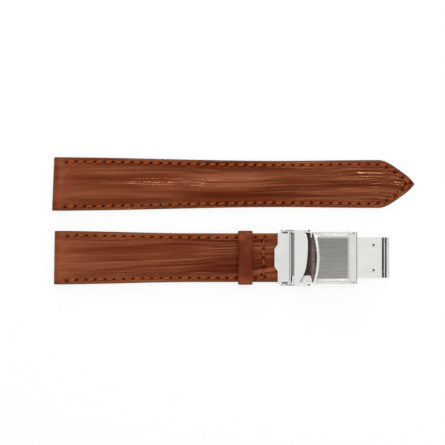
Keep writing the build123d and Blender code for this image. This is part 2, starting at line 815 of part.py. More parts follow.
# Cover pin between the tail frame's ears
with BuildPart() as cover_pin:
    with BuildSketch(clasp_side):
        with Locations((cover_pin_x, cover_pin_z)):
            Circle(cover_pin_radius)
    extrude(amount=frame_width / 2, both=True)
cover_pin.part.label = "cover_pin"
export_step(cover_pin.part, "parts/cover_pin.step")

# Cover: arched plate with a concave left edge, a dished field between two sloping rails, and a sloped
# right end that rolls round the pin
slope_z = arch_z(cover_slope_left, cover_high)
cover_mid = (upper_left + cover_slope_left) / 2
dish_left = upper_left + cover_edge_depth + dish_left_inset
dish_half = cover_width / 2 - rail_width
edge_radius = ((cover_width / 2) ** 2 + cover_edge_depth**2) / (2 * cover_edge_depth)
arch_axis = Axis((arch_mid_x, short_y, arch_centre_z), (0, 1, 0))


def arch_angle(x):
    """How far the cover's top leans at x, in degrees from the middle of the arch."""
    return degrees(asin((x - arch_mid_x) / (arch_radius + cover_high)))


with BuildSketch(clasp_side) as cover_side:
    with BuildLine():
        top = [(x, arch_z(x, cover_high)) for x in (upper_left, cover_mid, cover_slope_left)]
        under = [(x, arch_z(x, cover_low)) for x in (ear_left, cover_mid, upper_left)]
        ThreePointArc(*top)
        Line(top[-1], (cover_pin_x, cover_pin_z + cover_knuckle_radius))
        Line((cover_pin_x, cover_pin_z + cover_knuckle_radius), (cover_pin_x, cover_pin_z))
        Line((cover_pin_x, cover_pin_z), under[0])
        ThreePointArc(*under)
        Line(under[-1], top[0])
    make_face()
with BuildPart() as cover:
    extrude(cover_side.sketch, amount=cover_width / 2, both=True)
    # Between the ears the cover is as wide as the space left for its knuckle
    with BuildSketch(clasp_top):
        with Locations((ear_left + overrun - cover_gap, 0)):
            Rectangle(overrun * 2, cover_width * 2)
            Rectangle(overrun * 2, frame_width - 2 * frame_wall - 2 * cover_gap, mode=Mode.SUBTRACT)
    extrude(amount=arch_radius, mode=Mode.SUBTRACT)
    with BuildSketch(clasp_side):
        with Locations((cover_pin_x, cover_pin_z)):
            Circle(cover_knuckle_radius)
    extrude(amount=frame_width / 2 - frame_wall - cover_gap, both=True)
    with BuildSketch(clasp_side):
        with Locations((cover_pin_x, cover_pin_z)):
            Circle(cover_pin_radius + running_clearance)
    extrude(amount=cover_width, both=True, mode=Mode.SUBTRACT)
    # Concave left edge, with its top arris bevelled
    with BuildSketch(clasp_top):
        with Locations((upper_left + cover_edge_depth - edge_radius, 0)):
            Circle(edge_radius)
    extrude(amount=arch_radius, mode=Mode.SUBTRACT)
    left_arris = cover.faces().sort_by(Axis.X)[0].edges().sort_by(Axis.Z)[-1]
    chamfer(left_arris, edge_bevel)
    # Rails that slope down to both sides along the whole arch
    rail_start = arch_plane(upper_left - cover_edge_depth, cover_high)
    with BuildSketch(Plane(rail_start.origin, x_dir=(0, 1, 0), z_dir=rail_start.x_dir)):
        for outward in (-1, 1):
            with BuildLine():
                Polyline(
                    (outward * dish_half, 0),
                    (outward * cover_width / 2, -rail_drop),
                    (outward * (cover_width / 2 + rail_width), -rail_drop),
                    (outward * (cover_width / 2 + rail_width), rail_width),
                    (outward * dish_half, rail_width),
                    close=True,
                )
            make_face()
    revolve(
        axis=arch_axis,
        revolution_arc=arch_angle(cover_right + cover_edge_depth) - arch_angle(upper_left - cover_edge_depth),
        mode=Mode.SUBTRACT,
    )
    # Field hollowed across the width
    dish_start = arch_plane(dish_left, cover_high)
    with BuildSketch(Plane(dish_start.origin, x_dir=(0, 1, 0), z_dir=dish_start.x_dir)):
        with BuildLine():
            ThreePointArc((-dish_half, 0), (0, -dish_depth), (dish_half, 0))
            Line((dish_half, 0), (dish_half, dish_depth))
            Line((dish_half, dish_depth), (-dish_half, dish_depth))
            Line((-dish_half, dish_depth), (-dish_half, 0))
        make_face()
    revolve(
        axis=arch_axis,
        revolution_arc=arch_angle(cover_slope_left) - arch_angle(dish_left),
        mode=Mode.SUBTRACT,
    )
cover.part.label = "cover"
export_step(cover.part, "parts/cover.step")

# Grip bar under the cover, above the clamp bar
grip_plane = arch_plane(clamp_x, cover_low).offset(-grip_seat_gap)
with BuildPart() as grip_bar:
    with BuildSketch(Plane(grip_plane.origin, x_dir=grip_plane.x_dir, z_dir=(0, -1, 0))):
        with BuildLine():
            Polyline(*toothed_bar(-1), close=True)
        make_face()
    extrude(amount=clamp_width / 2, both=True)
grip_bar.part.label = "grip_bar"
export_step(grip_bar.part, "parts/grip_bar.step")

# Safety flap: a sloping plate with a curved free edge, on two cheeks that turn on the bar's tips
flap_left = bar_x + flap_plate_left
flap_right = bar_x + flap_plate_right
flap_low = bar_z + flap_plate_low
flap_end = bar_x + flap_length
flap_high = flap_low + flap_rise
flap_edge_shares = [(0.93, 0.81), (1.0, 0.45), (0.93, -0.15), (0.7, -0.63), (0.44, -0.87)]
cheek_inner = flap_width / 2 - flap_thickness
with BuildSketch(clasp_side) as flap_plate:
    with BuildLine():
        Polyline(
            (flap_left, flap_low),
            (flap_right, flap_high),
            (flap_right, flap_high + flap_plate_thickness),
            (flap_left, flap_low + flap_plate_thickness),
            close=True,
        )
    make_face()
with BuildSketch(clasp_side) as flap_cheek:
    with BuildLine():
        Polyline(
            (bar_x, bar_z - flap_tail_radius),
            (flap_end, bar_z - flap_cheek_depth),
            (flap_end, flap_high),
            (flap_right, flap_high + flap_plate_thickness),
            (flap_left, flap_low + flap_plate_thickness),
            (bar_x, bar_z + flap_tail_radius),
            close=True,
        )
    make_face()
    with Locations((bar_x, bar_z)):
        Circle(flap_tail_radius)
        Circle(bar_tip_radius + running_clearance, mode=Mode.SUBTRACT)
with BuildPart() as safety_flap:
    extrude(flap_plate.sketch, amount=flap_width / 2, both=True)
    with BuildSketch(clasp_top):
        with BuildLine():
            plate_run = flap_plate_right - flap_plate_left
            edge = [
                (flap_left + plate_run * along, cheek_inner * across) for along, across in flap_edge_shares
            ]
            Spline((flap_right - plate_run / 4, cheek_inner), *edge, (flap_left + plate_run / 3, -cheek_inner))
            Polyline(
                (flap_left + plate_run / 3, -cheek_inner),
                (flap_end + overrun, -cheek_inner),
                (flap_end + overrun, cheek_inner),
                (flap_right - plate_run / 4, cheek_inner),
            )
        make_face()
    extrude(amount=arch_radius, mode=Mode.SUBTRACT)
    for outward in (-1, 1):
        cheek = flap_cheek.sketch.moved(Location((0, outward * (cheek_inner + flap_thickness / 2), 0)))
        extrude(cheek, amount=flap_thickness / 2, both=True)
safety_flap.part.label = "safety_flap"
export_step(safety_flap.part, "parts/safety_flap.step")
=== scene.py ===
import bpy
import bmesh
import math
import numpy as np
from functools import partial
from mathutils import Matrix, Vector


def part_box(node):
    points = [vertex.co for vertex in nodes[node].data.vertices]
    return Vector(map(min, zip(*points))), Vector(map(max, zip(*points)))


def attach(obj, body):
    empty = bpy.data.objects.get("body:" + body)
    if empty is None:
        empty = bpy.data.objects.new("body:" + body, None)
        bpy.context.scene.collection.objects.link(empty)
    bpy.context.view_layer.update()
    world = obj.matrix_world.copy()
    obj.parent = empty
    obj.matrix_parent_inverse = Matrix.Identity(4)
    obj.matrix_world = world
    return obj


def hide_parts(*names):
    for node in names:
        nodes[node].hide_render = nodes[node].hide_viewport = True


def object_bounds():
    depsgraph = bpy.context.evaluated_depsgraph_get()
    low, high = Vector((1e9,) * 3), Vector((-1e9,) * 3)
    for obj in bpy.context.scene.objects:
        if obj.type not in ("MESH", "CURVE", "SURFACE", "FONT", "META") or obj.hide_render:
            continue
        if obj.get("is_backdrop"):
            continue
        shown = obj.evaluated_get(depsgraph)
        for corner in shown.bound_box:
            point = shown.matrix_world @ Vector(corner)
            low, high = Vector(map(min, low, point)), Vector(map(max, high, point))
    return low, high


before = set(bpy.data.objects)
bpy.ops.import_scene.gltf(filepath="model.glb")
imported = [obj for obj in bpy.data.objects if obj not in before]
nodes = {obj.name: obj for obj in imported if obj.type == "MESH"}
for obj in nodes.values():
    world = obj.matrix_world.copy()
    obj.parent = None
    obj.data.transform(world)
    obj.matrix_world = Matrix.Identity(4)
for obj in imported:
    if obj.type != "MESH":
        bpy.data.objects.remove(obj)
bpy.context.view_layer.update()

# Stitching of the long half: waxed linen thread, saddle-stitched through both leathers in awl holes
# 3.5 mm apart. Each stitch is a short bowed length of twisted thread that dives into its holes. The
# first one of each row is sewn double, so it stands thicker.

mm = 0.001
stitch_pitch, stitch_half_length, points_per_stitch = 3.5, 1.42, 36
thread_width, thread_flat_share, first_stitch_share = 0.92, 0.62, 1.65
thread_bow, thread_dive, thread_end_share = 0.14, 0.45, 0.02
thread_stations, thread_sides, width_scatter, turn_scatter = 9, 8, 0.08, 0.05
seat_below_centre, thread_lift = 0.15, 0.04


def from_hex(code):
    """sRGB hex colour to linear: a straight line for the darkest values, and above it a power of 2.4."""
    channel = np.array([int(code[i:i + 2], 16) / 255 for i in (1, 3, 5)])
    linear = np.where(channel <= 0.04045, channel / 12.92, ((channel + 0.055) / 1.055) ** 2.4)
    return (*linear, 1.0)


def plug(node, inputs):
    """Sets a node's named or numbered inputs, or links those whose value is another node's socket."""
    for name, value in inputs.items():
        if isinstance(value, bpy.types.NodeSocket):
            node.id_data.links.new(value, node.inputs[name])
        else:
            node.inputs[name].default_value = from_hex(value) if isinstance(value, str) else value


def add_node(tree, kind, inputs=None, stops=(), out=0, **settings):
    """Adds one shader node with its settings, inputs and colour stops. Returns the output that is asked
    for, or all of them for None."""
    made = tree.nodes.new("ShaderNode" + kind)
    for name, value in settings.items():
        setattr(made, name, value)
    for number, (place, colour) in enumerate(stops):
        band = made.color_ramp.elements
        stop = band[number] if number < 2 else band.new(place)
        stop.position, stop.color = place, from_hex(colour)
    plug(made, inputs or {})
    return made.outputs if out is None else made.outputs[out]


def scale_of(size):
    """Texture scale of a pattern with features of a size in millimetres: one over it in metres."""
    return 1 / (size * mm)


def surface_of(material):
    """What a material is built with: the function that adds a node to it, its surface shader, and the
    place on the piece in metres."""
    add = partial(add_node, material.node_tree)
    return add, material.node_tree.nodes["Principled BSDF"], add("TexCoord", out="Object")


def new_material(name):
    """A new node material, with what it is built with."""
    made = bpy.data.materials.new(name)
    made.use_nodes = True
    return made, *surface_of(made)


def new_object(name, data):
    """A new object of a mesh, lamp or camera, linked to the scene."""
    made = bpy.data.objects.new(name, data)
    bpy.context.scene.collection.objects.link(made)
    return made


def mesh_points(mesh):
    """A mesh's points in millimetres."""
    points = np.zeros(len(mesh.vertices) * 3)
    mesh.vertices.foreach_get("co", points)
    return points.reshape(-1, 3) / mm


def node_box(name):
    """Lowest and highest corner of a CAD node, in millimetres."""
    low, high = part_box(name)
    return np.array(low) / mm, np.array(high) / mm


def mesh_piece(name, points, faces, body, materials, edge_faces=(), uv=None):
    """A new piece from points in millimetres: one mesh at the origin, doubles merged, normals outwards.
    The edge faces take the second material and stay flat; all others are smooth."""
    mesh = bpy.data.meshes.new(name)
    mesh.from_pydata((points * mm).tolist(), [], faces + list(edge_faces))
    mesh.polygons.foreach_set("material_index", np.repeat([0, 1], [len(faces), len(edge_faces)]))
    if uv is not None:
        layer = mesh.uv_layers.new(name="along_around")
        corners = np.zeros(len(mesh.loops), np.int32)
        mesh.loops.foreach_get("vertex_index", corners)
        layer.data.foreach_set("uv", np.asarray(uv, np.float32)[corners].ravel())
    merged = bmesh.new()
    merged.from_mesh(mesh)
    bmesh.ops.remove_doubles(merged, verts=merged.verts, dist=1e-7)
    bmesh.ops.recalc_face_normals(merged, faces=merged.faces)
    merged.to_mesh(mesh)
    merged.free()
    index = np.zeros(len(mesh.polygons), np.int32)
    mesh.polygons.foreach_get("material_index", index)
    mesh.polygons.foreach_set("use_smooth", index == 0)
    for material in materials:
        mesh.materials.append(material)
    piece = new_object(name, mesh)
    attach(piece, body)
    return piece


def grid_faces(rows, columns, first=0, close_rows=False, close_columns=False):
    """Four-sided faces of a grid of points stored row after row, open or closed in either direction."""
    corner = first + np.arange(rows * columns).reshape(rows, columns)
    below, beside = np.roll(corner, -1, 0), np.roll(corner, -1, 1)
    quads = np.stack([corner, below, np.roll(below, -1, 1), beside], -1)
    quads = quads[:rows if close_rows else -1, :columns if close_columns else -1]
    return quads.reshape(-1, 4).tolist()


def stitch_spots(node):
    """Centre and direction of each stitch of a CAD stitching node: the middle of its points and the axis
    along which they spread the most."""
    points = mesh_points(nodes[node].data).reshape(-1, points_per_stitch, 3)
    centre = (points.min(1) + points.max(1)) / 2
    _, _, axes = np.linalg.svd(points[:, :, :2] - centre[:, None, :2], full_matrices=False)
    along = axes[:, 0]
    return centre, along * np.where(along[:, :1] < 0, -1, 1)


def awl_holes(centre, along):
    """Holes of a seam: half way between stitches less than 1.3 pitches apart, and one half a pitch past
    each stitch at the end of a row, where no hole is yet."""
    spot = centre[:, :2]
    apart = np.linalg.norm(spot[:, None] - spot[None], axis=2)
    first, second = np.nonzero(np.triu((apart > stitch_pitch / 9) & (apart < stitch_pitch * 1.3)))
    middle = (spot[first] + spot[second]) / 2
    ends = np.concatenate([spot + stitch_pitch / 2 * along, spot - stitch_pitch / 2 * along])
    gap = np.linalg.norm(ends[:, None] - middle[None], axis=2).min(1)
    return np.concatenate([middle, ends[gap > stitch_pitch / 3]])


def thread_run(name, centre, along, base_z, up, replaced=None):
    """All stitches of one seam as one mesh. Each is a tube: its radius falls off with the fourth power
    towards both ends, and its middle line bows away from the leather and then dives into the holes."""
    count, size = len(centre), thread_stations * thread_sides
    station = np.linspace(-1, 1, thread_stations)
    around = np.linspace(0, math.tau, thread_sides, endpoint=False)
    rng = np.random.default_rng(len(name))
    first = centre[:, 0] < centre[:, 0].min() + stitch_pitch / 2
    swell = rng.uniform(1 - width_scatter, 1 + width_scatter, count)
    swell = swell * np.where(first, first_stitch_share, 1)
    turn = rng.uniform(-turn_scatter, turn_scatter, count)[:, None]
    across = np.stack([-along[:, 1], along[:, 0]], 1)
    along, across = along + turn * across, across - turn * along
    radius = thread_width / 2 * np.sqrt(np.clip(1 - station**4, thread_end_share, 1))
    lift = thread_bow * (1 - station**2) - thread_dive * station**8
    reach = (stitch_half_length * station)[None, :, None, None]
    side = (radius[:, None] * np.cos(around))[None, :, :, None] * swell[:, None, None, None]
    height = (radius[:, None] * np.sin(around) * thread_flat_share)[None] * swell[:, None, None]
    height = base_z + up * (height + lift[None, :, None])
    level = centre[:, None, None, :2] + along[:, None, None] * reach + across[:, None, None] * side
    points = np.concatenate([level, height[..., None]], -1).reshape(-1, 3)
    uv = np.stack(np.meshgrid((station + 1) / 2, around / math.tau, indexing="ij"), -1).reshape(-1, 2)
    faces = []
    for start in range(0, len(points), size):
        last = start + size - 1
        faces += grid_faces(thread_stations, thread_sides, start, close_columns=True)
        faces += [range(start, start + thread_sides), range(last, last - thread_sides, -1)]
    piece = mesh_piece(name, points, faces, "strap", [waxed_thread],
                       uv=np.tile(uv, (count, 1)))
    if replaced:
        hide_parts(replaced)


# Waxed linen thread, twisted from two plies: their crowns catch the light, and wax leaves a soft sheen.
# The valleys between them carry painted shade. The wave repeats once in a whole turn of the twist.
twists_per_stitch, plies_around, wave_per_turn = 4, 2, 0.1
waxed_thread, add, shader, spot = new_material("waxed_linen_thread")
twist = add("UVMap", out="UV", uv_map="along_around")
twist = add("Mapping", {
    "Vector": twist, "Scale": (twists_per_stitch * math.tau, plies_around * math.tau, 1)})
plies = add("TexWave", {"Vector": twist, "Scale": wave_per_turn, "Distortion": 0.3}, out="Fac",
            bands_direction="DIAGONAL")
stain = add("TexNoise", {"Vector": spot, "Scale": scale_of(2.2)})
tint = add("ValToRGB", {"Fac": stain}, [(0.3, "#8C3E1A"), (0.7, "#A45428")])
# Painted shade: the colour darkens in the valleys between the plies
ply_valley_shade = add("ValToRGB", {"Fac": plies}, [(0.1, "#C8B8A8"), (0.6, "#FFFFFF")])
colour = add("Mix", {0: 1.0, 6: tint, 7: ply_valley_shade}, out=2, data_type="RGBA", blend_type="MULTIPLY")
relief = add("Bump", {"Height": plies, "Strength": 0.6, "Distance": 0.08 * mm})
plug(shader, {"Base Color": colour, "Roughness": 0.5, "Specular IOR Level": 0.2,
              "Specular Tint": "#FFC89C", "Normal": relief})

long_seam = stitch_spots("long_stitching")
long_seat = long_seam[0][:, 2].min() - seat_below_centre + thread_lift
thread_run("long_half_thread", *long_seam, long_seat, 1, "long_stitching")

# Long half, top leather: calf embossed with a shark grain of long lengthwise creases, skived thin at the
# fold, wrapped round the watch's bar and glued over the padding. Its cut sides are dyed and burnished.

long_low, long_high = node_box("long_top_leather")
long_y = (long_low + long_high)[1] / 2
lug_half, lug_radius, lug_bore, lug_bore_inset = 10.0, 1.8, 1.0, 2.2
fold_run, lug_flat, lug_fall, skew_run = 6.0, 1.6, 9.5, 30
lining_top, border_top = 1.0, 2.1
crown_side, crown_start, crown_height, crown_foot, crown_past_end = 2.7, 3.0, 2.5, 0.1, 1.03
seam_inset, seam_width, seam_depth, smooth_width, smooth_share = 1.6, 0.5, 0.2, 0.9, 0.65
hole_radius, hole_depth, hole_reach = 0.46, 0.6, 2
edge_round, dyed_edge = 0.38, 0.55
crease_depth, ridge_height = 0.09, 0.05
# Where each comes up from the lug end, over what length, and its least share
seam_onset, valley_onset, grain_onset, polish_onset = (4.6, 0.8), (4, 8), (2, 8, 0.2), (6, 8, 0.2)


def ramp(place, start, length, least=0):
    """A straight rise to one over a length from a start, and never under a least share."""
    return np.clip((place - start) / length, least, 1)


def bell(distance, width):
    """A bell curve: the exponential of minus the square of distance over width."""
    return np.exp(-(distance / width) ** 2)


def rounded(to_edge, radius):
    """How far a rounded arris lies under its flat face: a quarter circle of a radius, up to the edge."""
    inside = np.clip(radius - to_edge, 0, radius)
    return radius - np.sqrt(radius**2 - inside**2)


def lattice_noise(x, y, seed):
    """Smooth random height: random values at whole-number corners, eased across each cell by the
    fifth-power curve."""
    size = 256
    corner = np.random.default_rng(seed).uniform(-1, 1, (size, size))
    column, row = np.floor(x).astype(int), np.floor(y).astype(int)
    u, v = x - column, y - row
    u, v = u**3 * (u * (u * 6 - 15) + 10), v**3 * (v * (v * 6 - 15) + 10)
    column, row, next_column, next_row = (each % size for each in (column, row, column + 1, row + 1))
    low = corner[column, row] * (1 - u) + corner[next_column, row] * u
    high = corner[column, next_row] * (1 - u) + corner[next_column, next_row] * u
    return low * (1 - v) + high * v


# Length and width over which creases wander, rows of noise from one line or ridge to the next, and how
# much softer a crease's lower side is, and a ridge's tone longer, than its width and run
wander_length, wander_breadth, line_stride, ridge_stride, soft_side, tone_stretch = 24, 8, 7, 5, 3, 1.5
crease_share, crease_swing = 0.4, 1.1


def creases(x, y, seed, climb, pitch, width, wander, run):
    """One family of creases: lines a pitch apart that climb along the strap and wander with slow noise,
    each fading in and out along its own run, sharp above and soft below. Returns their depth, the random
    tone of the ridge between two, and the height across it: a parabola that leans as its tone says."""
    slow = lattice_noise(x / wander_length, y / wander_breadth, seed)
    count = (y - climb * x + wander * slow) / pitch
    line, ridge = np.round(count), np.floor(count)
    present = lattice_noise(x / run, line * line_stride, seed + 1)
    present = np.clip(crease_share + crease_swing * present, 0, 1)
    tone = lattice_noise(x / (tone_stretch * run), ridge * ridge_stride, seed + 2)
    above, across = (count - line) * pitch, count - ridge - 0.5
    depth = present * bell(above, np.where(above > 0, width, soft_side * width))
    return depth, tone, across * tone + 1 - 4 * across**2


# Families of creases, broad to fine: extra climb, pitch, width, wander and run, and their shares in the
# depth, the tone and the height
crease_families = ((0.0, 2.9, 0.16, 2.0, 24, (0.9, 0.5, 0.9)),
                   (-0.015, 1.5, 0.12, 1.3, 16, (0.7, 0.4, 0.6)),
                   (0.01, 0.8, 0.1, 0.7, 10, (0.45, 0.25, 0.25)))
gather_from, gather_length = -67, 100
band_length, band_breadth, band_share, calm_tone = 45, 2.6, 0.4, 0.4


def grain(x, y, seed, boldness, climb, gather):
    """Embossed shark grain: families of creases added up and gathered towards the far end, over broad
    bands along the strap. Returns crease depth from 0 to 1, tone from -1 to 1, and height in mm."""
    y = y * (1 + gather * (x - gather_from) / gather_length)
    totals = [0, 0, 0]
    for number, (lean, *family, shares) in enumerate(crease_families):
        parts = creases(x, y, seed + 10 * number, climb + lean, *family)
        totals = [total + share * part for total, share, part in zip(totals, shares, parts)]
    depth, tone, height = totals
    depth = np.clip(boldness * depth, 0, 1)
    band = lattice_noise(x / band_length, (y - climb * x) / band_breadth, seed + 30)
    tone = (tone + band_share * band) * (calm_tone + (1 - calm_tone) * boldness)
    return depth, np.clip(tone, -1, 1), ridge_height * boldness * height - crease_depth * depth


def higher_of(*heights):
    """The highest of several heights over the border, blended where they meet by a fifth-power mean."""
    return sum(np.maximum(height, 0) ** 5 for height in heights) ** (1 / 5)


def crown_over(x, y, half_width, left, length, places, heights, widths):
    """Height of the padded middle over the border: a parabola across the strap, as high and wide as its
    places say, which the logarithm of one plus its exponential runs out softly at the foot."""
    along, places = (x - left - crown_start) / length, places + [crown_past_end]
    high = crown_height * np.interp(along, places, heights + [0])
    wide = (half_width - crown_side) * np.interp(along, places, widths + [widths[-1]])
    dome = high * (1 - (y / np.maximum(wide, 0.5)) ** 2)
    soft = crown_foot * np.logaddexp(0, np.clip(dome, -6, 9) / crown_foot)
    return np.where(high > crown_foot / 10, soft, 0)


def outline_of(node, centre_y):
    """Half width of a flat CAD layer along X: the furthest of its points at each place."""
    points = mesh_points(nodes[node].data)
    place = np.round(points[:, 0], 3)
    along = np.unique(place)
    return along, np.array([np.abs(points[place == x, 1] - centre_y).max() for x in along])


def tag_points(piece, points, **values):
    """Writes each value to the mesh as a point attribute. Points are matched by place: the three
    coordinates, in steps of 1/2000 mm, are the digits of one key, looked up in sorted order."""
    digits = np.array([1, 2**20, 2**40])
    have, want = (np.round(places * 2000).astype(np.int64) @ digits
                  for places in (mesh_points(piece.data), points))
    order = np.argsort(want)
    found = order[np.clip(np.searchsorted(want[order], have), 0, len(order) - 1)]
    for name, value in values.items():
        layer = piece.data.attributes.new(name, "FLOAT", "POINT")
        layer.data.foreach_set("value", value[found].astype(np.float32))


# Rows of the top stand a step apart and crowd over the last tenth before a pointed tip; every sixth goes
# down to the underside. The other steps are the rows along each of the profile's runs.
row_step, edge_step, crowd_start, crowd_share = 0.29, 6, 0.9, 0.1
lug_steps, fold_steps, turn_steps, neck_steps, under_steps = 20, 6, 22, 24, 8


def leather_profile(floor, left, right, bar):
    """Side profile of a top leather as runs of x, z, the normal's x and z, and whether the top's form
    holds: over the top, round the far end or the clasp's bar, back under, and round the fold."""
    fold_end = left + fold_run
    spans = edge_step * round((right - fold_end) / row_step / edge_step)
    share = np.linspace(0, 1, spans + 1)
    if bar is None:
        crowded = np.sin((share - crowd_start) / crowd_share * np.pi / 2)
        share = np.where(share > crowd_start, crowd_start + crowd_share * crowded, share)
    lug_rows = np.linspace(left + lug_radius, fold_end, lug_steps, endpoint=False)
    top_rows = fold_end + (right - fold_end) * share
    runs = [(lug_rows, 0, 0, 1, 1), (top_rows, 0, 0, 1, 1)]
    if bar is not None:
        turn = np.linspace(np.pi / 2, -np.pi / 2, turn_steps)[1:]
        out, up = np.cos(turn), np.sin(turn)
        runs += [
            (np.linspace(right, bar["x"], neck_steps)[1:], 0, 0, 1, 1),
            (bar["x"] + bar["radius"] * out, bar["z"] + bar["radius"] * up, out, up, 0),
            (np.linspace(bar["x"], right, under_steps)[1:], floor, 0, -1, 0),
        ]
    turn = np.linspace(-np.pi / 2, -3 * np.pi / 2, turn_steps)[:-1]
    out, up = np.cos(turn), np.sin(turn)
    back, below = top_rows[::-edge_step], np.linspace(fold_end, left + lug_radius, fold_steps)
    runs += [
        (back, floor + lining_top, 0, 0, 0),
        (below, floor, 0, -1, 0),
        (left + lug_radius * (1 + out), floor + lug_radius * (1 + up), out, up, 0),
    ]
    profile = np.concatenate([np.stack(np.broadcast_arrays(*run)) for run in runs], 1)
    first_back = profile.shape[1] - len(turn) - len(below) - len(back)
    return profile, len(lug_rows), spans, len(back), first_back


# Places across the strap, close together over the rounded edge and then even; the rise to the clasp's
# bar and the row of stitches across; and the painted shade in the seam and in the valley beside the
# crown
rim_gaps, inner_share, inner_columns = [0, 0.003, 0.008, 0.015, 0.024, 0.036, 0.05], 0.94, 120
slope_step, wrap_stretch = 0.1, 1.5
neck_run, neck_rise, row_half, row_share = 1.2, 0.35, 8, 0.8
valley_width, valley_share, valley_swing, valley_cloud = 0.35, 0.6, 0.4, (9, 6)
valley_shade, seam_shade = 0.35, 1.5


def leather_half(name, floor, centre_y, left, edge, holes, crown, bar, skew, seed, bold, climb, gather,
                 polish, painted_light_lift):
    """Top leather of one half as one closed mesh. The side profile is carried across the strap at every
    width share, and each point moves along its normal by the grain, the seam's groove, the holes and the
    rounded edges. Strips close the sides, and rings run from the profile to the bores. The grain's
    boldness is a least share and a gain that comes up from a start over a length."""
    right = edge[0][-1] if bar is None else bar["neck"]
    profile, first_mid, spans, backs, first_back = leather_profile(floor, left, right, bar)
    x, z, normal_x, normal_z, over_top = profile
    normal_x, normal_z, over_top = normal_x[:, None], normal_z[:, None], over_top[:, None] > 0
    rim, inner = 1 - np.array(rim_gaps), np.linspace(-inner_share, inner_share, inner_columns)
    width_share = np.concatenate([-rim, inner, rim[::-1]])
    rows, columns = len(x), len(width_share)
    half_width = np.interp(x, *edge)[:, None]
    slope = np.interp(x + slope_step, *edge) - np.interp(x - slope_step, *edge)
    slope = slope[:, None] / (2 * slope_step)
    gx = np.repeat(x[:, None], columns, 1)
    gy = half_width * width_share
    to_edge = np.maximum(half_width - np.abs(gy), 0) / np.sqrt(1 + slope**2)
    # Form of the top: the higher of the crown, the lug that falls to the border, and the rise to the bar
    fall = ramp(gx - left, lug_flat, lug_fall - lug_flat)
    lug = (2 * lug_radius - border_top) * (1 + np.cos(np.pi * fall)) / 2
    rise = 0 * gx
    if bar is not None:
        loop = bar["z"] + bar["radius"] - floor - border_top
        rise = np.interp(gx, [bar["neck"] - neck_run, bar["neck"], bar["x"]], [0, neck_rise, loop])
    top = floor + border_top + higher_of(crown_over(gx, gy, half_width, left, *crown), lug, rise)
    gz = np.where(over_top, top, z[:, None])
    # Relief along the normal: the grain runs on round the fold, and is pressed flat beside the seams
    wrapped = left - (z - floor) * wrap_stretch
    run_x = np.where(over_top[:, 0] | (x > left + fold_run), x, wrapped)[:, None] + 0 * gx
    least, gain, bold_start, bold_length = bold
    boldness = (least + gain * ramp(gx, bold_start, bold_length)) * ramp(gx - left, *grain_onset)
    depth, tone, height = grain(run_x, gy, seed, boldness, climb, gather)
    seam = seam_depth * bell(to_edge - seam_inset, seam_width) * ramp(gx - left, *seam_onset)
    if bar is not None:
        across = bell(gx - bar["row"], seam_width) * (np.abs(gy) < row_half)
        seam = np.maximum(seam * (gx < bar["neck"]), row_share * seam_depth * across)
    smooth = 1 - smooth_share * bell(to_edge - seam_inset, smooth_width)
    valley = bell(to_edge - crown_side, valley_width) * ramp(gx - left, *valley_onset)
    cloud = lattice_noise(gx / valley_cloud[0], gy / valley_cloud[1], seed + 40)
    valley = valley * (valley_share + valley_swing * cloud) + seam_shade * seam
    pits = np.zeros_like(gx)
    for hole_x, hole_y in holes:
        near = np.abs(x - hole_x) < hole_reach
        away = (gx[near] - hole_x) ** 2 + (gy[near] + centre_y - hole_y) ** 2
        pits[near] += np.exp(-away / hole_radius**2)
    pits, seam = np.clip(pits, 0, 1) * over_top, seam * over_top
    outward = over_top | (normal_x != 0)
    shift = np.where(outward, height * smooth - seam - hole_depth * pits, 0)
    shift = shift - rounded(to_edge, edge_round) * (normal_z != 0)
    gx, gz = gx + normal_x * shift, gz + normal_z * shift
    gx = gx + skew * gy / lug_half * ramp(left + skew_run - gx, 0, skew_run)
    points = [np.stack([gx, gy + centre_y, gz], -1).reshape(-1, 3)]
    faces = grid_faces(rows, columns, close_rows=True)
    # Sides: a strip for every few rows of the top down to the flat underside, then rings round the bores
    edge_faces = []
    strip_top = first_mid + edge_step * np.arange(backs)
    strip_low = first_back + backs - 1 - np.arange(backs)
    lug_ring = np.concatenate([np.arange(first_back + backs - 1, rows), np.arange(first_mid + 1)])
    bores = [(left + lug_bore_inset, floor + lug_radius, lug_bore, lug_ring)]
    if bar is not None:
        bores.append((bar["x"], bar["z"], bar["bore"], np.arange(first_mid + spans, first_back + 1)))
    for column in (0, columns - 1):
        for k in range(backs - 1):
            upper = np.arange(strip_top[k], strip_top[k + 1] + 1)
            around = np.concatenate([upper, [strip_low[k + 1], strip_low[k]]]) * columns + column
            edge_faces.append(around.tolist())
    total = rows * columns
    for bore_x, bore_z, bore_radius, ring in bores:
        ring_x, ring_z = gx[ring, 0] - bore_x, gz[ring, 0] - bore_z
        length = np.hypot(ring_x, ring_z) / bore_radius
        for column in (0, columns - 1):
            circle = [bore_x + ring_x / length, gy[ring, column] + centre_y, bore_z + ring_z / length]
            points.append(np.stack(circle, -1))
            outer = ring * columns + column
            inner = total + (column > 0) * len(ring) + np.arange(len(ring))
            quads = [outer, np.roll(outer, -1), np.roll(inner, -1), inner]
            edge_faces += np.stack(quads, 1).tolist()
        faces += grid_faces(2, len(ring), total, close_columns=True)
        total += 2 * len(ring)
    points = np.concatenate(points)
    piece = mesh_piece(name, points, faces, "strap", [embossed_leather, cut_edge],
                       edge_faces)
    # What the material reads: creases with dye and painted shade, and painted shade in seam and valley;
    # depth of dye, with a half's painted light lift; gloss, holes and dyed rim; the bores are all rim
    bare = np.zeros(len(points) - gx.size)
    # Painted shade, with dye in the creases: crease depth plus the shade of the seam and the valley
    crease_dye_and_shade = np.clip(depth * smooth + valley_shade * valley * over_top, 0, 1)
    tag_points(
        piece, points, crease=np.append(crease_dye_and_shade, bare), tone=np.append(tone + painted_light_lift, bare),
        polish=np.append(polish * ramp(gx - left, *polish_onset), bare), awl_hole=np.append(pits, bare),
        rim=np.append(bell(to_edge, dyed_edge) * outward, bare + 1))
    return piece
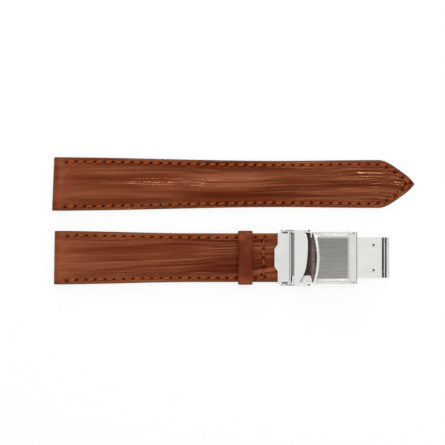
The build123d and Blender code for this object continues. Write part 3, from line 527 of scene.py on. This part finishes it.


# Shark-grain calf, aniline dyed and waxed: red-brown, each ridge with its own depth of dye. The creases
# are darker from dye and from painted shade; the seam, the valley beside the crown and the awl holes
# carry painted shade. The tinted wax gives small, sharp, golden highlights on the ridges and is duller
# in the creases. The dye's depth adds shares of each ridge's tone, fine streaks and broad clouds to a
# base.
along_strap = (0.06, 1.0, 1.0)
dull_wax, bright_wax, crease_dullness = 0.42, 0.13, 0.3
embossed_leather, add, shader, spot = new_material("shark_grain_calf_waxed")
stretched = add("Mapping", {"Vector": spot, "Scale": along_strap})
cloud = add("TexNoise", {"Vector": spot, "Scale": scale_of(14), "Detail": 3.0})
streak = add("TexNoise", {"Vector": stretched, "Scale": scale_of(0.9), "Detail": 4.0, "Roughness": 0.6})
fibre = add("TexNoise", {"Vector": stretched, "Scale": scale_of(0.4), "Detail": 3.0})
pores = add("TexVoronoi", {"Vector": spot, "Scale": scale_of(0.35)})
crease, tone, polish, hole, rim = (
    add("Attribute", out="Fac", attribute_name=name)
    for name in ("crease", "tone", "polish", "awl_hole", "rim"))
dye = 0.25
for layer, share in ((tone, 0.42), (streak, 0.3), (cloud, 0.2)):
    dye = add("Math", {0: layer, 1: share, 2: dye}, operation="MULTIPLY_ADD")
skin = add("ValToRGB", {"Fac": dye}, [
    (0.15, "#5A1805"), (0.85, "#8E4E34"), (0.42, "#6A2C13"), (0.58, "#783921")])
# Painted shade, partly dye: creases, seam and valley darken towards a deep brown
crease_dye_and_shade = add("Math", {0: crease, 1: 0.85}, operation="MULTIPLY")
dyed_rim = add("Math", {0: rim, 1: 0.8}, operation="MULTIPLY")
# Painted shade in the awl holes
painted_hole_shade = add("MapRange", {"Value": hole, 1: 0.25, 2: 0.6})
for share, colour in ((crease_dye_and_shade, "#400E02"), (dyed_rim, "#553420"), (painted_hole_shade, "#2C0500")):
    skin = add("Mix", {0: share, 6: skin, 7: colour}, out=2, data_type="RGBA")
gloss = add("MapRange", {"Value": polish, 3: dull_wax, 4: bright_wax})
gloss = add("Math", {0: crease, 1: crease_dullness, 2: gloss}, operation="MULTIPLY_ADD")
lines = add("Bump", {"Height": fibre, "Strength": 0.25, "Distance": 0.02 * mm})
relief = add("Bump", {"Height": pores, "Strength": 0.25, "Distance": 0.03 * mm, "Normal": lines})
plug(shader, {"Base Color": skin, "Roughness": gloss, "Normal": relief, "Specular IOR Level": 0.25,
              "Specular Tint": "#FFC292"})

# Dyed and burnished cut edge: darker and duller than the skin, with the fibre layers just showing.
cut_edge, add, shader, spot = new_material("burnished_leather_edge")
layered = add("Mapping", {"Vector": spot, "Scale": (0.2, 0.2, 1.0)})
fibres = add("TexNoise", {"Vector": layered, "Scale": scale_of(0.35), "Detail": 4.0})
colour = add("ValToRGB", {"Fac": fibres}, [(0.3, "#3B1E0E"), (0.7, "#6E4224")])
relief = add("Bump", {"Height": fibres, "Strength": 0.5, "Distance": 0.08 * mm})
plug(shader, {"Base Color": colour, "Roughness": 0.55, "Specular IOR Level": 0.3, "Normal": relief})

# The crown's length, places as shares of that length, and how high and how wide it is at each of them
long_crown = (
    124.9, [0, 0.03, 0.07, 0.12, 0.2, 0.32, 0.45, 0.6, 0.75, 0.88, 0.95, 1],
    [0.58, 0.72, 0.9, 0.98, 0.97, 0.88, 0.75, 0.58, 0.42, 0.29, 0.19, 0.04], [1] * 9 + [0.98, 0.8, 0.42])
edge_x, edge_reach = outline_of("long_lining", long_y)
edge_reach[-1] = 0.0
long_edge = ([long_low[0], *edge_x], [lug_half, *edge_reach])
long_leather = leather_half(
    "long_half_top_leather", 0.0, long_y, long_low[0], long_edge, awl_holes(*long_seam), long_crown,
    bar=None, skew=0.4, seed=11, bold=(0.65, 0.7, -35, 30), climb=0.02, gather=0.1, polish=1.0, painted_light_lift=0.0)
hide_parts("long_top_leather")

# Short half, top leather: the same calf, folded round the watch's bar at one end and the clasp's at the
# other, where a row of stitches closes the loop. The loop is cut a little narrower than the strap.

short_low, short_high = node_box("short_top_leather")
short_left, _, short_floor = short_low
short_y = (short_low + short_high)[1] / 2
short_crown = (
    72.4, [0, 0.03, 0.06, 0.1, 0.17, 0.25, 0.34, 0.43, 0.51, 0.59, 0.67, 0.76, 0.85, 0.92, 0.97, 1],
    [0.58, 0.69, 0.79, 0.9, 0.98, 0.96, 0.9, 0.81, 0.72, 0.63, 0.54, 0.45, 0.37, 0.29, 0.18, 0.04],
    [1] * 14 + [0.98, 0.92])
bar_x, _, bar_z = sum(node_box("bar_tube")) / 2
neck_x = node_box("short_lining")[1][0]
row_x = bar_x - 8.0
bar_loop = {"x": bar_x, "z": bar_z, "radius": 1.7, "bore": 0.79, "neck": neck_x, "row": row_x}
loop_from_bar, loop_half = np.array([-4.1, -3.9, 2]), [9.1, 8.85, 8.85]
edge_x, edge_reach = outline_of("short_lining", short_y)
short_edge = ([short_left, *edge_x, *(bar_x + loop_from_bar)], [lug_half, *edge_reach, *loop_half])
short_seam = stitch_spots("short_stitching")
# The short half's skin is painted paler: a tone lift that stands in for more light falling on it
short_leather = leather_half(
    "short_half_top_leather", short_floor, short_y, short_left, short_edge, awl_holes(*short_seam),
    short_crown, bar=bar_loop, skew=0.15, seed=53, bold=(0.55, 1.05, -50, 50), climb=0.05, gather=0.35,
    polish=0.1, painted_light_lift=0.17)
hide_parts("short_top_leather")
short_seat = short_floor + (border_top + thread_lift)
thread_run("short_half_thread", *short_seam, short_seat, 1, "short_stitching")

# Linings: smooth veg-tanned calf, flesh side glued to the top leather, from fold to fold. The seam pulls
# the thread into a shallow groove on the wrist side, so that it doesn't rub.

groove_depth, lining_round, lining_inset, inner_seat = 0.42, 0.3, 0.02, 0.48
lining_rows, lining_columns = 260, 140


def strap_grid(x, half_width, columns):
    """Places over a layer of the strap: X down the rows, and Y even across its width."""
    return np.repeat(x[:, None], columns, 1), half_width[:, None] * np.linspace(-1, 1, columns)


def layer_between(name, gx, gy, low, high, material):
    """A closed layer over a grid of places: one surface at the low heights, one at the high heights, and
    strips round their four borders."""
    rows, columns = gx.shape
    points = [np.stack(np.broadcast_arrays(gx, gy, height), -1).reshape(-1, 3) for height in (low, high)]
    index = np.arange(gx.size).reshape(gx.shape)
    border = np.concatenate([index[0], index[1:, -1], index[-1, -2::-1], index[-2:0:-1, 0]])
    after = np.roll(border, -1)
    faces = grid_faces(rows, columns) + grid_faces(rows, columns, gx.size)
    faces += np.stack([border, after, after + gx.size, border + gx.size], 1).tolist()
    return mesh_piece(name, np.concatenate(points), faces, "strap", [material])


# Veg-tanned lining calf: paler than the skin, matt, with fine even pores and a few darker tan clouds.
lining_leather, add, shader, spot = new_material("veg_tanned_lining_calf")
cloud = add("TexNoise", {"Vector": spot, "Scale": scale_of(9), "Detail": 4.0})
pores = add("TexVoronoi", {"Vector": spot, "Scale": scale_of(0.3)})
tan = add("ValToRGB", {"Fac": cloud}, [(0.3, "#855432"), (0.7, "#A06E48")])
speck = add("ValToRGB", {"Fac": pores}, [(0.0, "#B8A090"), (0.35, "#FFFFFF")])
colour = add("Mix", {0: 0.8, 6: tan, 7: speck}, out=2, data_type="RGBA", blend_type="MULTIPLY")
relief = add("Bump", {"Height": pores, "Strength": 0.4, "Distance": 0.05 * mm})
plug(shader, {"Base Color": colour, "Roughness": 0.6, "Specular IOR Level": 0.3, "Normal": relief})

# The lining's wrist side is flat, with a groove along the seams and a rounded arris at the cut edge
for name, node, centre_y, floor, edge, left, right, row in (
    ("long_half_lining", "long_lining", long_y, 0.0, long_edge, long_low[0], long_high[0], None),
    ("short_half_lining", "short_lining", short_y, short_floor, short_edge, short_left, neck_x, row_x),
):
    x = np.linspace(left + fold_run, right, lining_rows)
    half_width = np.interp(x, *edge) - lining_inset
    gx, gy = strap_grid(x, half_width, lining_columns)
    to_edge = half_width[:, None] - np.abs(gy)
    groove = groove_depth * bell(to_edge - seam_inset, seam_width)
    if row is not None:
        groove = np.maximum(groove, groove_depth * bell(gx - row, seam_width) * (np.abs(gy) < row_half))
    lining = layer_between(name, gx, gy + centre_y, floor + groove + rounded(to_edge, lining_round),
                           floor + lining_top, lining_leather)
    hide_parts(node)
thread_run("long_half_inner_thread", *long_seam, inner_seat, -1)
thread_run("short_half_inner_thread", *short_seam, short_floor + inner_seat, -1)

# Padding: pressed wool felt, crowned across the strap and tapering towards the tail, glued between the
# two leathers. It gives each half its raised middle.

felt_inset, felt_gap, felt_glue = 0.95, 0.05, 0.01
felt_rows, felt_columns = 160, 60

# Wool felt: off-white, matt, with short tangled fibres.
wool_felt, add, shader, spot = new_material("pressed_wool_felt")
tangle = add("TexNoise", {"Vector": spot, "Scale": scale_of(0.6), "Detail": 5.0, "Distortion": 1.5})
colour = add("ValToRGB", {"Fac": tangle}, [(0.3, "#B8AC98"), (0.7, "#D8CEBC")])
relief = add("Bump", {"Height": tangle, "Strength": 0.8, "Distance": 0.1 * mm})
plug(shader, {"Base Color": colour, "Roughness": 0.95, "Normal": relief})

# The felt's top is the crown's parabola across the strap, just under the leather's flesh side
for name, node, centre_y, floor, left, edge, crown in (
    ("long_half_padding", "long_padding", long_y, 0.0, long_low[0], long_edge, long_crown),
    ("short_half_padding", "short_padding", short_y, short_floor, short_left, short_edge, short_crown),
):
    length, places, heights, widths = crown
    share = np.linspace(places[1], places[-2], felt_rows)
    x = left + crown_start + length * share
    high = crown_height * np.interp(share, places, heights)
    wide = (np.interp(x, *edge) - crown_side) * np.interp(share, places, widths) - felt_inset
    gx, gy = strap_grid(x, wide, felt_columns)
    dome = (high[:, None] - felt_gap) * (1 - (gy / wide[:, None]) ** 2)
    felt = layer_between(name, gx, gy + centre_y, floor + lining_top + felt_glue,
                         floor + lining_top + felt_gap / 2 + dome, wool_felt)
    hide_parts(node)

# Keeper: a band of smooth calf, closed under the strap, that slides along the short half and holds the
# tail down. Its long edges are rounded and burnished, and its top bows up a little.

keeper_low, keeper_high = node_box("keeper")
keeper_wall, keeper_corner, keeper_roll, keeper_bow, keeper_crown = 0.75, 1.0, 0.3, 0.18, 0.1
corner_steps, run_steps, roll_steps, across_steps = 9, 14, 7, 13

# The band's path: a quarter turn about each corner of a rounded rectangle, then the straight run on
centre = (keeper_low + keeper_high) / 2
half_x, half_y, half_z = (keeper_high - keeper_low) / 2
path = []
for quarter, (side_y, side_z) in enumerate(((1, 1), (-1, 1), (-1, -1), (1, -1))):
    corner_y, corner_z = side_y * (half_y - keeper_corner), side_z * (half_z - keeper_corner)
    angle = (quarter + np.linspace(0, 1, corner_steps)) * np.pi / 2
    run = np.linspace(1, -1, run_steps)[1:-1]
    run_y, run_z = (corner_y * run, corner_z) if quarter % 2 == 0 else (corner_y, corner_z * run)
    for stretch in ((corner_y, corner_z, angle), (run_y, run_z, angle[-1])):
        path.append(np.stack(np.broadcast_arrays(*stretch), 1))
path_y, path_z, angle = np.concatenate(path).T[:, :, None]
# The band's section: a strip with rounded edges, its outer face a little crowned
turn = np.linspace(-np.pi / 2, np.pi / 2, roll_steps)
across = np.linspace(-1, 1, across_steps)[1:-1] * (half_x - keeper_roll)
edge_x = half_x - keeper_roll + keeper_roll * np.cos(turn)
edge_t = keeper_wall / 2 * (1 + np.sin(turn))
section_x = np.concatenate([edge_x, across[::-1], -edge_x[::-1], across])
section_t = np.concatenate([edge_t, keeper_wall + 0 * across, edge_t[::-1], 0 * across])
outer_face = section_t > keeper_wall * 0.6
crowned = keeper_crown * (1 - (section_x / half_x) ** 2) * outer_face
radius = keeper_corner - keeper_wall + section_t + crowned
bow = keeper_bow * (1 - (path_y / half_y) ** 2) * np.clip(np.sin(angle), 0, 1) ** 4
keeper_points = np.stack(np.broadcast_arrays(
    centre[0] + section_x, centre[1] + path_y + np.cos(angle) * radius,
    centre[2] + path_z + np.sin(angle) * radius + bow), -1)

# Smooth calf, waxed: closed pores, a soft gloss, and a colour that grows darker towards the middle, away
# from its sides.
keeper_reach = 9.5
smooth_calf, add, shader, spot = new_material("smooth_calf_waxed")
cloud = add("TexNoise", {"Vector": spot, "Scale": scale_of(3.5), "Detail": 4.0})
pores = add("TexVoronoi", {"Vector": spot, "Scale": scale_of(0.28)})
place_y = add("SeparateXYZ", {0: spot}, out="Y")
middle_darkening = cloud
for end_y in (short_y - keeper_reach, short_y + keeper_reach):
    inwards = add("MapRange", {"Value": place_y, 1: end_y * mm, 2: short_y * mm})
    middle_darkening = add("Math", {0: inwards, 1: 0.5, 2: middle_darkening}, operation="MULTIPLY_ADD")
middle_darkening = add("Math", {0: middle_darkening, 1: 0.45}, operation="SUBTRACT")
colour = add("ValToRGB", {"Fac": middle_darkening}, [(0.4, "#80402A"), (0.95, "#561A08"), (0.7, "#692A12")])
relief = add("Bump", {"Height": pores, "Strength": 0.25, "Distance": 0.03 * mm})
plug(shader, {"Base Color": colour, "Roughness": 0.4, "Specular IOR Level": 0.2,
              "Specular Tint": "#FFBE94", "Normal": relief})

keeper_band = mesh_piece("keeper_band", keeper_points.reshape(-1, 3),
                         grid_faces(len(path_y), len(section_x), close_rows=True, close_columns=True),
                         "keeper", [smooth_calf])
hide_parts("keeper")

# Clasp, polished pieces: pressed stainless steel, bent over formers, riveted or pinned, and polished
# outside. Inside, under the flap and the cover, they are matt, and their colour there is painted shade,
# dark and brownish.

arch_radius, base_thickness = 78.0, 0.8
hinge_x = sum(node_box("fold_pin"))[0] / 2
lip_x = node_box("base_blade")[1][0]
arch_x = (bar_x + hinge_x) / 2
arch_z = -math.sqrt(arch_radius**2 - (lip_x - arch_x) ** 2)
zone_dullness = 0.4


def between(add, value, low, high, soft=0.05):
    """One where a value lies between two places in millimetres, and zero outside, with soft ends."""
    above = add("MapRange", {"Value": value, 1: (low - soft) * mm, 2: (low + soft) * mm})
    below = add("MapRange", {"Value": value, 1: (high + soft) * mm, 2: (high - soft) * mm})
    return add("Math", {0: above, 1: below}, operation="MULTIPLY")


def steel(name, tones, roughness, zones=(), lay=along_strap):
    """Stainless steel: two close tones by slow noise and a fine lay, with round arrises. Faces that look
    up inside a zone's limits take its tones, which are painted shade and light, and are matt; R is the
    distance to the arch's centre."""
    made, add, shader, spot = new_material(name)
    cloud = add("TexNoise", {"Vector": spot, "Scale": scale_of(6)})
    stretched = add("Mapping", {"Vector": spot, "Scale": lay})
    scratch = add("TexNoise", {"Vector": stretched, "Scale": scale_of(0.25)})
    tone = add("Math", {0: cloud, 1: scratch}, operation="ADD")
    tone = add("Math", {0: tone, 1: 0.5}, operation="MULTIPLY")
    colour = add("ValToRGB", {"Fac": tone}, [(0.35, tones[0]), (0.65, tones[1])])
    rough = add("MapRange", {"Value": scratch, 1: 0.3, 2: 0.7, 3: roughness * 0.8, 4: roughness * 1.2})
    if zones:
        place = add("SeparateXYZ", {0: spot}, out=None)
        level = add("CombineXYZ", {0: place["X"], 2: place["Z"]})
        from_arch = add("VectorMath", {0: level, 1: (arch_x * mm, 0, arch_z * mm)}, out="Value",
                        operation="DISTANCE")
        facing = add("SeparateXYZ", {0: add("TexCoord", out="Normal")}, out="Z")
        upward = add("MapRange", {"Value": facing, 1: 0.3, 2: 0.6})
    for dark, light, limits in zones:
        mask = upward
        for channel, (low, high) in limits.items():
            limit = between(add, from_arch if channel == "R" else place[channel], low, high)
            mask = add("Math", {0: mask, 1: limit}, operation="MULTIPLY")
        # Painted shade and light: the zone's own tones replace the steel's
        painted_shade_tone = add("ValToRGB", {"Fac": scratch}, [(0.3, dark), (0.7, light)])
        colour = add("Mix", {0: mask, 6: colour, 7: painted_shade_tone}, out=2, data_type="RGBA")
        rough = add("Math", {0: mask, 1: zone_dullness, 2: rough}, operation="MULTIPLY_ADD")
    arris = add("Bevel", {"Radius": 0.12 * mm}, samples=6)
    relief = add("Bump", {"Height": scratch, "Strength": 0.1, "Distance": 0.02 * mm, "Normal": arris})
    plug(shader, {"Base Color": colour, "Roughness": rough, "Metallic": 1.0, "Normal": relief})
    return made


def dress(material, *names):
    """Gives each CAD node's only material slot the new finish."""
    for name in names:
        slots = nodes[name].data.materials
        slots.clear()
        slots.append(material)


# Safety flap, mirror polished: the brightest face of the clasp, which shows the white room unbroken.
dress(steel("stainless_mirror_polished", ("#E8E7E4", "#EEEDEA"), 0.1), "safety_flap")

# Pins, rivets, hook and bars, barrel polished: bright, with a softer reflection than a mirror's.
bright = ("#DADAD8", "#E4E4E2")
dress(steel("stainless_barrel_polished", bright, 0.15), "cover_pin", "blade_rivets",
      "catch_hook", "bar_plunger_front", "bar_plunger_rear", "clamp_bar", "grip_bar")

# End frame, polished, with shade painted in: brown-black on its floor behind the flap, three grey bands
# of painted shade and light down in the groove, and dark where the spring bar's tips come through its
# cheeks.
groove_end, window_end, cover_end = 22.4, 31.5, 44.5
floor_limits = {"Y": (short_y - 6.7, short_y + 9.3), "Z": (-1, 4.6)}
cheek_from_middle, cheek_half, tip_half = 9.35, 0.35, 1.15
frame_zones = [("#362D28", "#4C423C", {"X": (groove_end, lip_x), **floor_limits})]
for dark, light, start, end in (("#9A9793", "#ACA9A5", -1.6, -0.9), ("#7A7672", "#8C8884", -0.9, -0.4),
                                ("#A8A5A1", "#BAB7B3", -0.4, 0)):
    frame_zones.append((dark, light, {"X": (groove_end + start, groove_end + end), **floor_limits}))
for cheek in (short_y - cheek_from_middle, short_y + cheek_from_middle):
    frame_zones.append(("#4A4A44", "#5E5E58", {
        "X": (bar_x - tip_half, bar_x + tip_half), "Y": (cheek - cheek_half, cheek + cheek_half)}))
dress(steel("stainless_polished_frame", bright, 0.1, frame_zones), "end_frame")

# Base blade, polished, with shade painted in: brown where it shows behind the flap, grey under the
# cover, and dark in the gaps beside the fold pin.
blade_top = arch_radius + base_thickness + 0.15
hinge_zones = [("#5E4E48", "#7A6A64", {"X": (hinge_x - 1.0, hinge_x - 0.25)}),
               ("#3A322E", "#504642", {"X": (hinge_x + 0.05, hinge_x + 0.8)})]
dress(steel("stainless_polished_base_blade", bright, 0.12, [
    ("#524943", "#7B716B", {"X": (groove_end, window_end), "R": (0, blade_top)}),
    ("#74716D", "#8C8985", {"X": (window_end, hinge_x - 1.0), "R": (0, blade_top)}),
    *hinge_zones]), "base_blade")

# Upper blade with its fold pin, and tail frame, polished: pale outside; under the cover, matt and brown
# with painted shade.
inner_zone = ("#524943", "#7B716B", {"X": (groove_end, cover_end), "Z": (-1, 5)})
dress(steel("stainless_polished_upper_blade", ("#E2E2E0", "#EAEAE8"), 0.1,
            [inner_zone] + hinge_zones), "upper_blade", "fold_pin")
dress(steel("stainless_polished_tail_frame", bright, 0.1, [inner_zone]), "tail_frame")

# Spring bar's tube and spring, turned and drawn: greyer and matt, with an even lay.
dress(steel("stainless_turned", ("#A9A8A4", "#BDBCB8"), 0.3, lay=(1, 1, 1)), "bar_tube", "bar_spring")

# Clasp, cover: pressed stainless steel. Its hollowed field is satin brushed along the strap behind a
# mask, and fades out softly towards the rails: partly the change of finish, partly painted shading of
# the hollow's rounded walls. Its rim, rails and sloped end are polished.

rim_width, rim_bow, rail_width, slope_length = 0.5, 1.7, 1.3, 3.5
cover_low, cover_high = node_box("cover")
rim_radius = ((cover_high[1] - short_y) ** 2 + rim_bow**2) / (2 * rim_bow)
rim_x = cover_low[0] + rim_bow - rim_radius
rail_start = cover_high[1] - short_y - rail_width
field_start, field_reach = rim_radius + rim_width + 0.4, rim_radius + 60
hair_strength, brush_dullness = 0.35, 0.34

cover_finish = steel("stainless_brushed_and_polished", ("#D1D0CC", "#DCDBD7"), 0.22)
dress(cover_finish, "cover")
add, shader, spot = surface_of(cover_finish)
place = add("SeparateXYZ", {0: spot}, out=None)
level = add("CombineXYZ", {0: place["X"], 1: place["Y"]})
from_rim = add("VectorMath", {0: level, 1: (rim_x * mm, short_y * mm, 0)}, out="Value",
               operation="DISTANCE")
# The mask's soft ends also paint the shading of the hollow's rounded walls
mask = between(add, from_rim, field_start, field_reach, 0.45)
for channel, low, high, soft in (("Y", short_y - rail_start + 0.08, short_y + rail_start - 0.55, 0.8),
                                 ("X", cover_low[0], cover_high[0] - slope_length + 0.3, 0.7)):
    limit = between(add, place[channel], low, high, soft)
    mask = add("Math", {0: mask, 1: limit}, operation="MULTIPLY")
stretched = add("Mapping", {"Vector": spot, "Scale": (0.015, 1.0, 0.2)})
hair = add("TexNoise", {"Vector": stretched, "Scale": scale_of(0.2), "Detail": 4.0, "Roughness": 0.7})
satin = add("ValToRGB", {"Fac": hair}, [(0.3, "#706F6B"), (0.7, "#8D8B86")])
colour, rough, relief = (
    shader.inputs[name].links[0].from_socket for name in ("Base Color", "Roughness", "Normal"))
colour = add("Mix", {0: mask, 6: colour, 7: satin}, out=2, data_type="RGBA")
rough = add("Math", {0: mask, 1: brush_dullness, 2: rough}, operation="MULTIPLY_ADD")
strength = add("Math", {0: mask, 1: hair_strength}, operation="MULTIPLY")
relief = add("Bump", {"Height": hair, "Strength": strength, "Distance": 0.03 * mm, "Normal": relief})
plug(shader, {"Base Color": colour, "Roughness": rough, "Normal": relief})

# Studio: a white table under even light from all round above, one broad softbox behind, a large dim fill
# in front, and two small strip lamps whose reflections sit on the crown of the long half.

half = 3
corners = [(-half, -half, 0), (half, -half, 0), (half, half, 0), (-half, half, 0)]
table = bpy.data.meshes.new("table_top")
table.from_pydata(corners, [], [range(4)])
table_top = new_object("table_top", table)
table_top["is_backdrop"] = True

# White paper sweep: seen as white, with a share of plain diffuse white that keeps the shadow.
paper_glow = 0.82
white_paper, add, shader, _ = new_material("white_paper_sweep")
plug(shader, {"Base Color": "#F4F4F4", "Roughness": 0.9, "Specular IOR Level": 0.1})
ray = add("LightPath", out=None)
seen = add("Math", {0: ray["Is Camera Ray"], 1: ray["Is Glossy Ray"]}, operation="MAXIMUM")
seen = add("Math", {0: seen, 1: ray["Is Transmission Ray"]}, operation="MAXIMUM")
share = add("Math", {0: seen, 1: paper_glow}, operation="MULTIPLY")
white = add("Emission")
both = add("MixShader", {0: share, 1: shader.outputs[0], 2: white})
plug(white_paper.node_tree.nodes["Material Output"], {"Surface": both})
table.materials.append(white_paper)

# The room: pale overhead and darker towards the floor, so that the metal's slopes read
world = bpy.data.worlds.new("soft_studio")
bpy.context.scene.world = world
world.use_nodes = True
add = partial(add_node, world.node_tree)
direction = add("TexCoord", out="Generated")
upward = add("SeparateXYZ", {0: direction}, out="Z")
sky = add("ValToRGB", {"Fac": upward}, [
    (0.0, "#5A5A5A"), (0.9, "#F9F9F9"), (0.45, "#C0C0C0"), (0.8, "#F0F0F0")])
plug(world.node_tree.nodes["Background"], {"Color": sky})


def softbox(name, place, aim, size, power):
    """A rectangular area lamp at a place, turned so that it faces the point it aims at."""
    lamp = bpy.data.lights.new(name, "AREA")
    lamp.shape = "RECTANGLE"
    lamp.size, lamp.size_y = size
    lamp.energy = power
    holder = new_object(name, lamp)
    way = np.array(aim) - np.array(place)
    holder.location = place
    holder.rotation_euler = (
        math.atan2(math.hypot(way[0], way[1]), -way[2]), 0, math.atan2(way[1], way[0]) - math.pi / 2)


# Each lamp's place, the point it aims at, its two sizes and its power
softbox("broad_softbox", (-0.3, 1.0, 0.55), (0, 0, 0), (0.9, 0.5), 3.5)
softbox("low_fill", (0.1, -0.4, 0.7), (0, 0, 0), (1.0, 0.5), 0.34)
softbox("crown_light_left", (-0.013, 0.12, 0.6), (-0.024, 0.015, 0), (0.055, 0.012), 0.4)
softbox("crown_light_right", (0.12, 0.12, 0.6), (0.054, 0.015, 0), (0.05, 0.012), 0.6)

# Camera: looks straight down through a long lens that takes in the photograph's frame at its scale,
# which was measured 3 mm over the table.

frame_pixels, pixels_per_mm, scale_height = 445, 2.68, 3
view_x, view_y, view_distance = -4.2, -0.43, 1.2
view_width = frame_pixels / pixels_per_mm * mm
camera = bpy.data.cameras.new("photograph_view")
camera.lens = camera.sensor_width * (view_distance - scale_height * mm) / view_width
camera.clip_start, camera.clip_end = 0.05, 10
holder = new_object("photograph_view", camera)
holder.location = (view_x * mm, view_y * mm, view_distance)
bpy.context.scene.camera = holder
bpy.context.scene.view_settings.view_transform = "Standard"

low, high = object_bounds()
